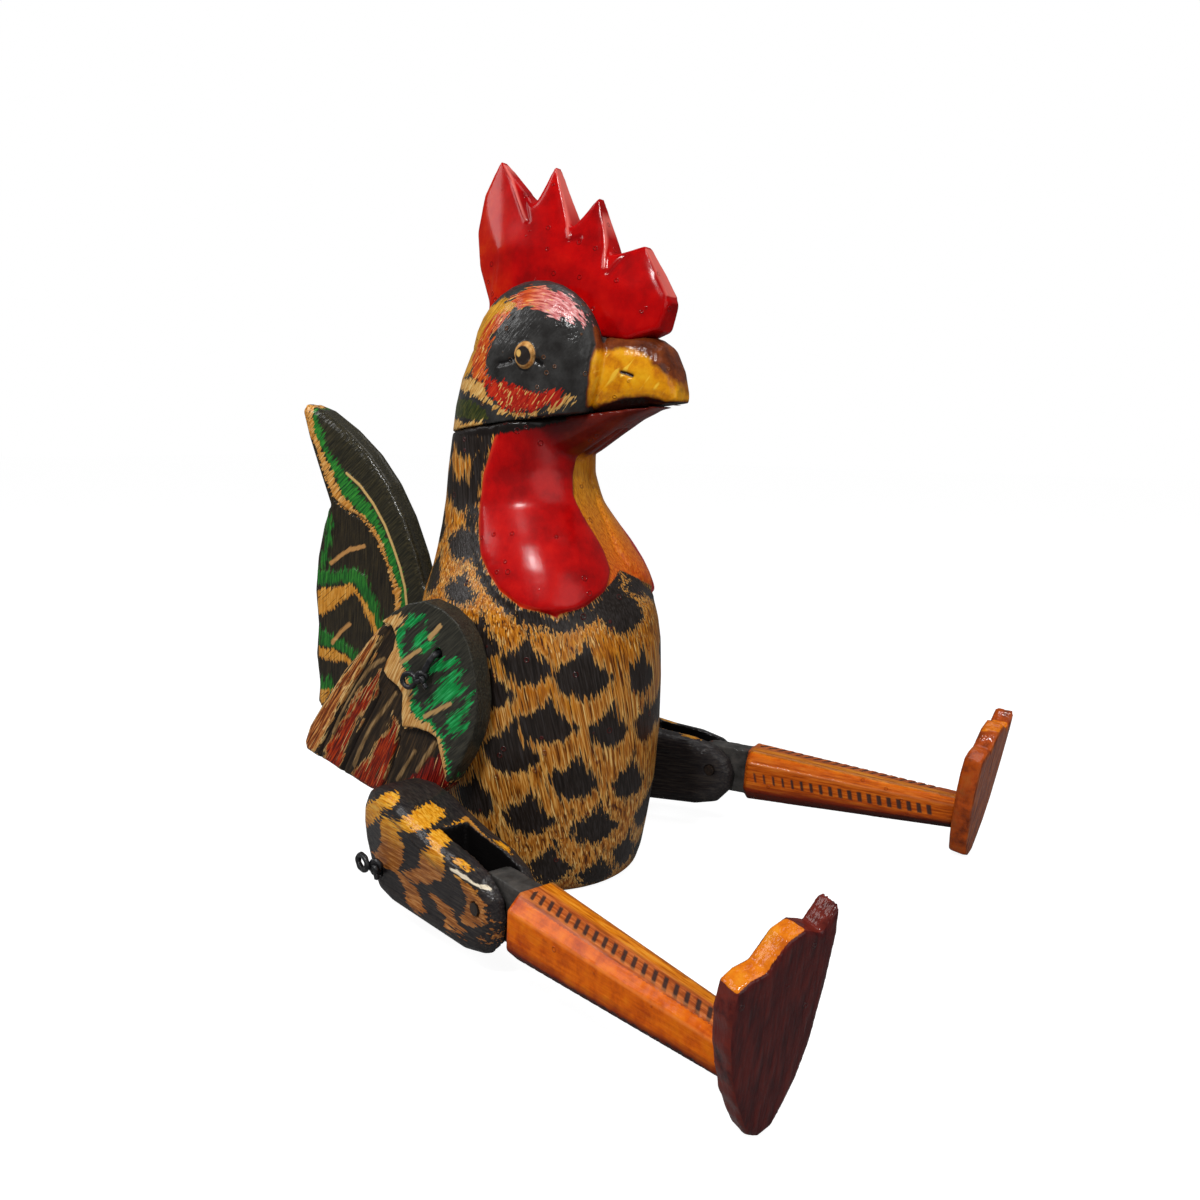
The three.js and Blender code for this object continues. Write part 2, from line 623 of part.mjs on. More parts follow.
function shinSolid(name) {
  const grown = (SHIN_LENGTH + SHIN_OVERRUN) / SHIN_LENGTH;
  const farWidth = THREE.MathUtils.lerp(SHIN_TOP.width, SHIN_END.width, grown);
  const farHalf = THREE.MathUtils.lerp(SHIN_TOP.half, SHIN_END.half, grown);
  const bar = loft([
    octagon(SHIN_START, SHIN_TOP.width - SHIN_EDGE, SHIN_TOP.half - SHIN_EDGE),
    octagon(SHIN_START + SHIN_EDGE, SHIN_TOP.width, SHIN_TOP.half),
    octagon(SHIN_FAR + SHIN_OVERRUN, farWidth, farHalf),
  ]);
  const tongueHalf = SLOT_HALF - HINGE_GAP;
  const tongueLength = SHIN_START + TONGUE_ROOT;
  const tongue = block([tongueHalf * 2, tongueLength, TONGUE_ROUND * 2], [0, -tongueLength / 2, 0]);
  const beyond = [SHIN_TOP.half * 2 * THROUGH, SHIN_LENGTH / 2, SHIN_TOP.half * 2 * THROUGH];
  return toSolid(bar)
    .subtract(placeOnShin(block(beyond, [0, -beyond[1] / 2, 0]), name))
    .add(toSolid(tongue))
    .add(toSolid(rod(TONGUE_ROUND, tongueHalf * 2, 'x', [0, 0, 0])))
    .subtract(toSolid(rod(KNEE_PIN_RADIUS + PIN_GAP, THIGH_HALF * THROUGH, 'x', [0, 0, 0])))
    .subtract(toSolid(footDowelRod(PIN_GAP)));
}

// The foot stands up against the shin's end
function footSolid(name) {
  const foot = board(FOOT_OUTLINE, FOOT_THICKNESS, FOOT_BEVEL);
  foot.rotateX(Math.PI / 2);
  foot.translate(0, -FOOT_THICKNESS / 2 - SEAM_GAP, 0);
  return placeOnShin(foot, name).subtract(toSolid(footDowelRod(PIN_GAP)));
}

function thighPlace(side, name) {
  const turn = THREE.MathUtils.degToRad(SPLAY[name]);
  const reach = side * (THIGH_HALF + CORD_SLACK);
  return {
    turn,
    hip: hipExit(side).add(new THREE.Vector3(reach * Math.cos(turn), reach * Math.sin(turn), 0)),
  };
}

function addLeg(parent, name, side) {
  const { turn, hip } = thighPlace(side, name);
  const lift = THREE.MathUtils.degToRad(LIFT[name]);
  const leg = new THREE.Group();
  leg.position.copy(hip);
  leg.rotation.set(-lift, 0, turn, 'ZYX');
  parent.add(leg);
  const kneeHeight = hip.z + KNEE_FORWARD * Math.sin(lift) + kneeAt[2] * Math.cos(lift);
  const droop = Math.asin((kneeHeight - HEEL_DROP) / SHIN_FAR);
  const lower = new THREE.Group();
  lower.position.set(...kneeAt);
  lower.rotation.x = lift + droop;
  leg.add(lower);
  const pin = rod(KNEE_PIN_RADIUS, THIGH_HALF * 2 * KNEE_PIN_SHARE, 'x', kneeAt);
  addMesh(leg, `thigh_${name}`, thighSolid(), finish(PAINT.body));
  addMesh(leg, `knee_pin_${name}`, pin, finish(PAINT.peg));
  addMesh(lower, `shin_${name}`, shinSolid(name), finish(PAINT.shin));
  addMesh(lower, `foot_${name}`, footSolid(name), finish(PAINT.foot));
  addMesh(lower, `foot_dowel_${name}`, footDowelRod(0), finish(PAINT.peg));
}

// The whole rooster
const rooster = new THREE.Group();
addMesh(rooster, 'torso', torsoSolid(), finish(PAINT.body));
addMesh(rooster, 'head', headSolid(), finish(PAINT.beak));
addMesh(rooster, 'neck_dowel', neckDowelRod(0), finish(PAINT.peg));
addMesh(rooster, 'comb', combSolid().subtract(toSolid(combDowelRod(PIN_GAP))), finish(PAINT.red));
addMesh(rooster, 'comb_dowel', combDowelRod(0), finish(PAINT.peg));

let tail = toSolid(tailBoard());
for (const dowel of tailDowelRods(PIN_GAP)) tail = tail.subtract(toSolid(dowel));
addMesh(rooster, 'tail', tail, finish(PAINT.tail));
['lower', 'upper'].forEach((place, i) => {
  addMesh(rooster, `tail_dowel_${place}`, tailDowelRods(0)[i], finish(PAINT.peg));
});

const wingX = bodyHalfWidth + HINGE_GAP + WING_THICKNESS / 2;
const sides = [['right', -1], ['left', 1]];
for (const [name, side] of sides) {
  const wing = addMesh(rooster, `wing_${name}`, wingSolid(side), finish(PAINT.wing));
  wing.position.x = side * wingX;
  addLeg(rooster, name, side);
}

const shoulderExit = bodyHalfWidth - SHOULDER_RUN_SHORT;
const wingFace = wingX + WING_THICKNESS / 2 + WING_STEP.rise;
const shoulderBend = wingFace + KNOT_STANDOFF + CORD_RADIUS;
const shoulderKnot = wingFace + KNOT_STANDOFF + KNOT_RADIUS;
const shoulderPlace = (x) => new THREE.Vector3(x, SHOULDER.y, SHOULDER.z);
addMesh(rooster, 'shoulder_cord', cordSolid(
  sides.map(([, side]) => shoulderPlace(side * shoulderExit)),
  sides.map(([, side]) => shoulderPlace(side * shoulderBend)),
  sides.map(([, side]) => shoulderPlace(side * shoulderKnot)
    .add(new THREE.Vector3(0, ...SHOULDER_DROP))),
  SHOULDER_LOOP,
), finish(PAINT.cord, 0.8));

function outsideThigh(name, side, out) {
  const { turn, hip } = thighPlace(side, name);
  return hip.add(new THREE.Vector3(Math.cos(turn), Math.sin(turn), 0)
    .multiplyScalar(side * (THIGH_HALF + KNOT_STANDOFF + out)));
}

addMesh(rooster, 'hip_cord', cordSolid(
  sides.map(([, side]) => hipExit(side)),
  sides.map(([name, side]) => outsideThigh(name, side, CORD_RADIUS)),
  sides.map(([name, side]) => outsideThigh(name, side, KNOT_RADIUS)
    .add(new THREE.Vector3(0, ...HIP_DROP))),
  HIP_LOOP,
), finish(PAINT.cord, 0.8));

export default rooster;
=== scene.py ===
import json
import math

import bpy
import numpy as np
from mathutils import Matrix, Vector


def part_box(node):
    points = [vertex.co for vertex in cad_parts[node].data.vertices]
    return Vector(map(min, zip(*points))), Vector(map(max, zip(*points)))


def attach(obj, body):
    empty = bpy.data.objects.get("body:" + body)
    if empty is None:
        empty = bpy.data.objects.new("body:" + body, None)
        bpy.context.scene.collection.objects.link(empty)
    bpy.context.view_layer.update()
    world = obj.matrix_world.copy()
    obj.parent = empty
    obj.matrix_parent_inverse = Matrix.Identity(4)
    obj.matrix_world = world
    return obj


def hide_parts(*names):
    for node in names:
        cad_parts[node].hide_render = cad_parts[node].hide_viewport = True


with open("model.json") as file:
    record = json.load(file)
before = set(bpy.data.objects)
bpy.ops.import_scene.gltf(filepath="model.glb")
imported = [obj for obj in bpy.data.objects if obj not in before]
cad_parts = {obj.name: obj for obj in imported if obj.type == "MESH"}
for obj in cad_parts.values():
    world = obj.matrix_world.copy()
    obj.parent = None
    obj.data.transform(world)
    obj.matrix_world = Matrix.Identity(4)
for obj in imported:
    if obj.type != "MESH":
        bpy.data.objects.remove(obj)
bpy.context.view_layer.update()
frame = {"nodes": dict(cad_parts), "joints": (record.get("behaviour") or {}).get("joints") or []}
MM = 1000.0  # the frame is in metres, the carving and painting below in millimetres
DEGREE = math.pi / 180
SIDES = (("right", -1), ("left", 1))
SEAM = 205  # height of the neck's top, where the head begins


# Camera, floor and lights
CAMERA_AT = (-413.6, -293.4, 202.0)
CAMERA_TURN = -57.6  # degrees round from straight in front, towards the rooster's right
CAMERA_RISE = 8.7
CAMERA_ROLL = 0.9
CAMERA_LENS = 33.207
LAMP_AIM = Vector((0.0, 0.0, 0.14))
FLOOR_GREY, FLOOR_GLOW, ROOM_LIGHT = 0.3, 0.93, 0.2  # the glow is for the camera alone
WHITE = (1, 1, 1, 1)


def direction(turn, rise):
    """The way to look back from the rooster: degrees round from the front, and up."""
    turn, rise = math.radians(turn), math.radians(rise)
    return Vector((math.sin(turn) * math.cos(rise), -math.cos(turn) * math.cos(rise),
                   math.sin(rise)))


def new_object(name, data):
    made = bpy.data.objects.new(name, data)
    bpy.context.scene.collection.objects.link(made)
    return made


def add_camera():
    back = direction(CAMERA_TURN, CAMERA_RISE)
    roll = math.radians(CAMERA_ROLL)
    right = (-back).cross(Vector((0, 0, 1))).normalized()
    up = right.cross(-back)
    rolled = right * math.cos(roll) + up * math.sin(roll)
    upright = up * math.cos(roll) - right * math.sin(roll)
    lens = bpy.data.cameras.new("camera")
    lens.lens = CAMERA_LENS
    lens.sensor_width = 36
    lens.clip_start = 0.01
    camera = new_object("camera", lens)
    axes = Matrix((rolled, upright, back)).transposed().to_4x4()
    axes.translation = Vector(CAMERA_AT) / MM
    camera.matrix_world = axes
    bpy.context.scene.camera = camera


def add_lamp(name, turn, rise, away, size, watts):
    lamp = bpy.data.lights.new(name, "AREA")
    lamp.energy = watts
    lamp.shape = "ELLIPSE"
    lamp.size, lamp.size_y = size
    holder = new_object(name, lamp)
    at = LAMP_AIM + direction(turn, rise) * away
    holder.location = at
    holder.rotation_mode = "QUATERNION"
    holder.rotation_quaternion = (LAMP_AIM - at).to_track_quat("-Z", "Y")


def add_floor():
    bpy.ops.object.select_all(action="DESELECT")
    bpy.ops.mesh.primitive_plane_add(size=12.0, location=(0, 0, 0))
    floor = bpy.context.object
    floor.name = "floor"
    material = bpy.data.materials.new("pale_floor")
    material.use_nodes = True
    nodes, links = material.node_tree.nodes, material.node_tree.links
    shader = nodes["Principled BSDF"]
    shader.inputs["Base Color"].default_value = (FLOOR_GREY,) * 3 + (1,)
    shader.inputs["Roughness"].default_value = 0.9
    shader.inputs["Specular IOR Level"].default_value = 0.1
    glow = nodes.new("ShaderNodeEmission")
    glow.inputs["Color"].default_value = WHITE
    path = nodes.new("ShaderNodeLightPath")
    gain = nodes.new("ShaderNodeMath")
    gain.operation = "MULTIPLY"
    gain.inputs[1].default_value = FLOOR_GLOW
    links.new(path.outputs["Is Camera Ray"], gain.inputs[0])
    links.new(gain.outputs[0], glow.inputs["Strength"])
    both = nodes.new("ShaderNodeAddShader")
    links.new(shader.outputs[0], both.inputs[0])
    links.new(glow.outputs[0], both.inputs[1])
    links.new(both.outputs[0], nodes["Material Output"].inputs["Surface"])
    floor.data.materials.append(material)


def light_world():
    world = bpy.data.worlds.new("studio")
    bpy.context.scene.world = world
    world.use_nodes = True
    nodes, links = world.node_tree.nodes, world.node_tree.links
    room = nodes["Background"]
    room.inputs["Color"].default_value = WHITE
    room.inputs["Strength"].default_value = ROOM_LIGHT
    white = nodes.new("ShaderNodeBackground")
    white.inputs["Color"].default_value = WHITE
    white.inputs["Strength"].default_value = 1.0
    path = nodes.new("ShaderNodeLightPath")
    pick = nodes.new("ShaderNodeMixShader")
    links.new(path.outputs["Is Camera Ray"], pick.inputs[0])
    links.new(room.outputs[0], pick.inputs[1])
    links.new(white.outputs[0], pick.inputs[2])
    links.new(pick.outputs[0], nodes["World Output"].inputs["Surface"])


add_camera()
add_floor()
light_world()
add_lamp("window", -77, 47, 1.0, (0.15, 0.18), 5.4)
add_lamp("side_window", -145, 34, 1.0, (0.3, 0.5), 2.4)
add_lamp("front_fill", -25, 20, 1.3, (1.1, 1.1), 4.2)
add_lamp("top", 60, 75, 1.1, (0.7, 0.7), 3.0)
bpy.context.scene.view_settings.view_transform = "Standard"


# Mesh helpers
OUTSIDE = -9.0  # mm, far outside a painted patch


def only(piece):
    bpy.ops.object.select_all(action="DESELECT")
    piece.select_set(True)
    bpy.context.view_layer.objects.active = piece


def edit_mesh(piece, step, **settings):
    """One step of mesh editing on the whole of a piece."""
    only(piece)
    bpy.ops.object.mode_set(mode="EDIT")
    bpy.ops.mesh.select_all(action="SELECT")
    step(**settings)
    bpy.ops.object.mode_set(mode="OBJECT")


def apply_modifier(piece, kind, **settings):
    only(piece)
    modifier = piece.modifiers.new(kind.lower(), kind)
    for key, value in settings.items():
        setattr(modifier, key, value)
    bpy.ops.object.modifier_apply(modifier=modifier.name)


def carved_copy(node, body, voxel, rounds=3):
    """A finely divided copy of a CAD node, with its edges rubbed round, that stands for it."""
    piece = new_object("carved_" + node, frame["nodes"][node].data.copy())
    piece.data.materials.clear()
    edit_mesh(piece, bpy.ops.mesh.remove_doubles, threshold=1e-6)
    apply_modifier(piece, "REMESH", mode="VOXEL", voxel_size=voxel / MM)
    apply_modifier(piece, "SMOOTH", factor=0.5, iterations=rounds)
    piece.data.shade_smooth()
    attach(piece, body)
    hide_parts(node)
    return piece


def read(piece, what):
    flat = np.empty(len(piece.data.vertices) * 3)
    piece.data.vertices.foreach_get(what, flat)
    return flat.reshape(-1, 3)


def points_of(piece):
    return read(piece, "co") * MM


def columns(*values):
    return np.stack(values, axis=1)


def carve(piece, depth):
    """Moves the surface out by a depth in mm, or in where it is negative."""
    points = points_of(piece) + read(piece, "normal") * np.asarray(depth)[:, None]
    piece.data.vertices.foreach_set("co", (points / MM).ravel())
    piece.data.update()


def keep(piece, **masks):
    """Stores one number, or three, at each point for the paint to follow."""
    for name, values in masks.items():
        values = np.asarray(values, float)
        kind = "FLOAT_VECTOR" if values.ndim == 2 else "FLOAT"
        field = "vector" if values.ndim == 2 else "value"
        attribute = piece.data.attributes.new(name, kind, "POINT")
        attribute.data.foreach_set(field, values.astype(np.float32).ravel())


def inside(points, *outlines):
    """Distance in mm into the nearest of some outlines, negative outside them all."""
    result = np.full(len(points), -30.0)
    for outline in outlines:
        outline = np.asarray(outline, float)
        low, high = outline.min(0) - 12, outline.max(0) + 12
        near = np.all((points > low) & (points < high), axis=1)
        p = points[near]
        away = np.full(len(p), 1e9)
        crossings = np.zeros(len(p), bool)
        for a, b in zip(outline, np.roll(outline, -1, 0)):
            along = b - a
            share = np.clip(((p - a) @ along) / max(along @ along, 1e-9), 0, 1)
            away = np.minimum(away, np.linalg.norm(p - a - share[:, None] * along, axis=1))
            spans = (a[1] > p[:, 1]) != (b[1] > p[:, 1])
            rise = b[1] - a[1] if abs(b[1] - a[1]) > 1e-9 else 1e-9
            crossings ^= spans & (p[:, 0] < a[0] + (p[:, 1] - a[1]) * along[0] / rise)
        result[near] = np.maximum(result[near], np.where(crossings, away, -away))
    return result


def beside(points, half, *lines):
    """Distance in mm inside strokes of a half width along open lines."""
    away = np.full(len(points), 30.0)
    for line in lines:
        line = np.asarray(line, float)
        for a, b in zip(line[:-1], line[1:]):
            along = b - a
            share = np.clip(((points - a) @ along) / max(along @ along, 1e-9), 0, 1)
            away = np.minimum(away, np.linalg.norm(points - a - share[:, None] * along, axis=1))
    return half - away


def smooth_step(value, low, high):
    share = np.clip((value - low) / (high - low), 0, 1)
    return share * share * (3 - 2 * share)


def groove(distance, width, depth):
    """A rounded groove where a distance is near nought."""
    return -depth * np.exp(-(distance / width) ** 2)


def brushed(side, points, angle):
    """Brush coordinates for a flat pattern: across twice, then along a slant in degrees."""
    turn = math.radians(angle)
    along = points[:, 0] * math.cos(turn) + points[:, 1] * math.sin(turn)
    across = points[:, 1] * math.cos(turn) - points[:, 0] * math.sin(turn)
    return columns(across, side, along)


# Paint
def colour(code):
    """A colour as it looks on screen, in hex digits, for a shader."""
    def linear(c):
        c /= 255
        return c / 12.92 if c <= 0.04045 else ((c + 0.055) / 1.055) ** 2.4
    return tuple(linear(c) for c in bytes.fromhex(code)) + (1,)


finished = {}  # materials that both sides share


class Paint:
    """A painted and varnished finish, laid on in layers as shader nodes."""

    def __init__(self, name):
        self.material = bpy.data.materials.new(name)
        self.material.use_nodes = True
        self.tree = self.material.node_tree
        self.shader = self.tree.nodes["Principled BSDF"]
        self.base = None
        self.heights = []

    def add(self, kind, inputs=(), **settings):
        node = self.tree.nodes.new("ShaderNode" + kind)
        for key, value in settings.items():
            setattr(node, key, value)
        for key, value in dict(inputs).items():
            self.put(node.inputs[key], value)
        return node

    def put(self, socket, value):
        if isinstance(value, bpy.types.NodeSocket):
            self.tree.links.new(value, socket)
        elif value is not None:
            socket.default_value = colour(value) if isinstance(value, str) else value

    def math(self, operation, a, b=None, c=None, clamp=False):
        node = self.add("Math", operation=operation, use_clamp=clamp)
        for socket, value in zip(node.inputs, (a, b, c)):
            self.put(socket, value)
        return node.outputs[0]

    def mask(self, name, more=0.0):
        """A number stored at each point, with more added to it."""
        value = self.add("Attribute", attribute_name=name).outputs["Fac"]
        return self.math("ADD", value, more) if more else value

    def scaled(self, vector, scale):
        return self.add("VectorMath", {0: vector, 1: scale}, operation="MULTIPLY").outputs[0]

    def flow(self, across, along, name="stroke"):
        """Brush coordinates in mm, drawn out along the stroke."""
        place = self.add("Attribute", attribute_name=name).outputs["Vector"]
        return self.scaled(place, (across, across, along))

    def place(self, across, along=None):
        """Places on the piece in mm, each way scaled, or the last way on its own."""
        where = self.add("TexCoord").outputs["Object"]
        return self.scaled(where, (across * MM, across * MM, (along or across) * MM))

    def noise(self, vector, detail=2.0, roughness=0.55, distortion=0.0):
        return self.add("TexNoise", {"Vector": vector, "Scale": 1.0, "Detail": detail,
                                     "Roughness": roughness,
                                     "Distortion": distortion}).outputs["Fac"]

    def ramp(self, value, low, high, start=0.0, end=1.0):
        node = self.add("MapRange", {"Value": value, "From Min": low, "From Max": high,
                                     "To Min": start, "To Max": end}, clamp=True)
        return node.outputs["Result"]

    def blend(self, factor, a, b, kind="MIX"):
        node = self.add("Mix", data_type="RGBA", blend_type=kind)
        self.put(node.inputs[0], factor)
        self.put(node.inputs[6], a)
        self.put(node.inputs[7], b)
        return node.outputs[2]

    def shades(self, value, *stops):
        """Colours along a value: (place, colour) pairs."""
        node = self.add("ValToRGB")
        ramp = node.color_ramp
        while len(ramp.elements) < len(stops):
            ramp.elements.new(0.5)
        for element, (place, tint) in zip(ramp.elements, stops):
            element.position = place
            element.color = colour(tint)
        self.put(node.inputs[0], value)
        return node.outputs[0]

    def strokes(self, tints, across=1.3, along=0.09, name="stroke"):
        """A ground of fine strokes between three shades, from dark to light."""
        streak = self.noise(self.flow(across, along, name), detail=3.0, roughness=0.6)
        return self.shades(streak, *zip((0.34, 0.5, 0.66), tints.split()))

    def mottled(self, tints, scale=0.09):
        """A ground of soft blotches between three shades, from dark to light."""
        blotch = self.noise(self.place(scale), detail=4.0, roughness=0.62)
        return self.shades(blotch, *zip((0.32, 0.52, 0.72), tints.split()))

    def hair(self, across=0.9, along=0.11, name="stroke"):
        """Ragged ends of brush hairs, from -1 to 1."""
        ragged = self.noise(self.flow(across, along, name), detail=2.5, roughness=0.6)
        return self.ramp(ragged, 0.28, 0.72, -1.0, 1.0)

    def layer(self, mask, tint, fringe=0.0, hair=None, soft=0.25, strength=1.0):
        """Lays a colour where a mask is positive, its edge broken up by brush hairs."""
        edge = self.mask(mask) if isinstance(mask, str) else mask
        if fringe:
            edge = self.math("MULTIPLY_ADD", hair, fringe, edge)
        cover = self.ramp(edge, -soft, soft, 0.0, strength)
        self.base = self.blend(cover, self.base, tint)
        return cover

    def tone(self, mask, tint, low, high, strength=1.0):
        """Tints slowly from one value of a mask to another."""
        value = self.mask(mask) if isinstance(mask, str) else mask
        self.base = self.blend(self.ramp(value, low, high, 0.0, strength), self.base, tint)

    def fine_hairs(self, tint, across=1.6, along=0.07, low=0.6, high=0.66, name="stroke",
                   within=None):
        """Single thin brush lines in a light or dark colour."""
        streak = self.noise(self.flow(across, along, name), detail=1.0, roughness=0.5)
        cover = self.ramp(streak, low, high)
        if within is not None:
            cover = self.math("MULTIPLY", cover, self.ramp(within, 0.0, 0.6))
        self.base = self.blend(cover, self.base, tint)

    def bubbles(self, tint, cell=8.0, size=1.1, share=0.55, strength=0.5):
        """Small rings that air bubbles leave in thick varnish."""
        where = self.add("TexVoronoi", {"Vector": self.place(1 / cell), "Scale": 1.0})
        ring = self.math("SUBTRACT", where.outputs["Distance"], size / cell)
        line = self.ramp(self.math("ABSOLUTE", ring), 0.0, 0.3 / cell, 1.0, 0.0)
        some = self.math("GREATER_THAN", self.add(
            "SeparateColor", {0: where.outputs["Color"]}).outputs[0], 1 - share)
        line = self.math("MULTIPLY", line, some)
        self.base = self.blend(self.math("MULTIPLY", line, strength), self.base, tint)
        self.relief(line, 0.25)

    def broken(self, name, scale, amount):
        """A mask moved to and fro by blotches, by up to half the amount each way."""
        blotch = self.noise(self.place(scale), detail=3.0)
        return self.math("MULTIPLY_ADD", blotch, amount, self.mask(name, -amount / 2))

    def waves(self, scale, amount, detail=2.0):
        """Adds the soft unevenness of carved wood to the bump."""
        self.relief(self.noise(self.place(scale), detail=detail), amount)

    def relief(self, height, amount):
        """Adds a height in mm to the bump."""
        self.heights.append(self.math("MULTIPLY", height, amount))

    def varnish(self, roughness=0.5, coat=0.35, coat_roughness=0.16, specular=0.04):
        total = None
        for height in self.heights:
            total = height if total is None else self.math("ADD", total, height)
        if total is not None:
            bump = self.add("Bump", {"Height": total, "Strength": 1.0, "Distance": 1 / MM})
            self.put(self.shader.inputs["Normal"], bump.outputs[0])
            self.put(self.shader.inputs["Coat Normal"], bump.outputs[0])
        self.put(self.shader.inputs["Base Color"], self.base)
        self.put(self.shader.inputs["Roughness"], roughness)
        self.put(self.shader.inputs["Specular IOR Level"], specular)
        self.put(self.shader.inputs["Coat Weight"], coat)
        self.put(self.shader.inputs["Coat Roughness"], coat_roughness)
        return self.material


def shared(finish):
    """A finish that is mixed once and used on both sides."""
    if finish not in finished:
        finished[finish] = finish()
    return finished[finish]


# Torso
# height, centre along Y, half width, half depth
BODY_ROWS = np.array([[0, 0, 43, 42], [2.5, 0, 46, 45], [10, 0, 48.5, 47.5], [24, 0, 51, 50],
    [42, 0, 53, 53], [66, 0, 54.5, 55], [90, 0.5, 54.5, 56], [108, 1.5, 54, 56.5],
    [118, 2.3, 52.5, 56], [125, 3, 50.5, 55], [131, 4, 47.5, 52.5], [138, 5.5, 43.5, 49],
    [147, 8, 39, 45], [158, 10.5, 34.5, 41], [170, 13, 31, 37], [183, 14.5, 30, 34],
    [198, 13.2, 30, 32.5], [212, 11, 30.5, 32]])
# height, then the wattle's front and back edges in degrees round from the front
WATTLE_ROWS = np.array([[125.5, 47, 52], [128.5, 34, 65], [134.5, 20, 75], [141.5, 10, 82],
    [150, 7, 88], [161, 11, 90], [174, 16, 88], [184, 10, 84.5], [200, 3, 76.5], [212, 0, 72]])
# painted scales: degrees round from the front, height of the middle, width and height
SCALES = [(84, 115, 19, 21), (62, 107, 20, 22), (37, 102, 25, 24), (3, 99, 21, 22),
    (79, 95, 20, 19), (53, 81, 26, 19), (23, 77, 20, 19), (-2, 76, 18, 21), (70, 69, 24, 23),
    (40, 56, 23, 20), (8, 51, 22, 20), (88, 46, 22, 20), (61, 40, 22, 20), (27, 33, 23, 19),
    (-12, 31, 20, 19), (78, 20, 22, 20), (50, 16, 19, 20), (22, 9, 20, 16), (3, 16, 18, 19)]
FRONT_CAPS = [(14, 129, 30, 26), (-10, 135, 24, 12)]
NECK_SCALES = [(104, 198, 22, 18), (107, 174, 23, 17), (102, 153, 23, 17), (99, 134, 19, 15)]
SCALE_SHAPE = np.array([(0.06, 1.0), (0.12, 0.8), (0.24, 0.62), (0.5, 0.36), (0.42, 0.2),
    (0.2, 0.06), (-0.08, 0.02), (-0.34, 0.16), (-0.5, 0.46), (-0.4, 0.6), (-0.2, 0.68),
    (-0.04, 0.84)])
SCALE_GROWTH = 1.09
BAND_SPREAD = 20.0  # degrees that the painted chest band runs on over the left lobe
CHEST_EDGE, CHEST_SLOPE = 141.5, 0.32  # lower edge of the chest band, falling to the sides
SEAM_TILT, NECK_MIDDLE = 7 * DEGREE, 13
BAND_RISE = 128, 140  # heights that the spread grows between
WATTLE_END = 124.2  # height of its lowest point
JAW_FROM = 176  # height
# scales at the back: heights of the rows, and each row's first turn, step and width
BACK_LEVELS = [14, 35, 57, 79, 101, 121, 139, 158, 177, 196]
BODY_ROW, NECK_ROW, NECK_FROM, BACK_END = (104, 27, 21), (128, 40, 17), 120, 246
BORDER = 7.0  # mm of black round the wattle
COLLAR = ([28, 42, 75, 88], [206, 203, 199.6, 199])  # its lower edge: degrees, then height
TWIST = 0.22 * DEGREE  # of the body's brush strokes, for each mm of height


def torso_places(points):
    """Degrees round from the front, towards the right, and the body's radius there."""
    centre, wide, deep = (np.interp(points[:, 2], BODY_ROWS[:, 0], BODY_ROWS[:, k])
                          for k in (1, 2, 3))
    turn = np.degrees(np.arctan2(-points[:, 0] / wide, -(points[:, 1] - centre) / deep))
    return turn, (wide + deep) / 2


def scale_mask(turn, radius, height, scales):
    result = np.full(len(turn), -30.0)
    for middle, level, width, tall in scales:
        away = (turn - middle + 180) % 360 - 180
        flat = columns(-away * radius * DEGREE, height - level)
        shape = (SCALE_SHAPE - (0, 0.5)) * (width * SCALE_GROWTH, tall * SCALE_GROWTH)
        result = np.maximum(result, inside(flat, shape))
    return result


def all_scales():
    """The scales seen from the front right, and more of them round the rest of the body."""
    scales = SCALES + NECK_SCALES
    scales += [(-turn + 4, level + 3, width, tall) for turn, level, width, tall in scales
               if turn > 12]
    for row, level in enumerate(BACK_LEVELS):
        start, step, wide = BODY_ROW if level < NECK_FROM else NECK_ROW
        for k, turn in enumerate(range(start, BACK_END, step)):
            scales.append((turn + (row % 2) * 13, level + 3 * math.sin(k * 2.1 + row), wide, 20))
    return scales


def wattle_mask(turn, radius, height):
    edge_radius = np.interp(WATTLE_ROWS[:, 0], BODY_ROWS[:, 0],
                            (BODY_ROWS[:, 2] + BODY_ROWS[:, 3]) / 2) * DEGREE
    front = columns(WATTLE_ROWS[:, 1] * edge_radius, WATTLE_ROWS[:, 0])
    back = columns(WATTLE_ROWS[:, 2] * edge_radius, WATTLE_ROWS[:, 0])[::-1]
    flat = columns(np.abs(turn) * radius * DEGREE, height)
    return inside(flat, np.concatenate([front, back, [[back[-1][0] - 3, WATTLE_END]]]))


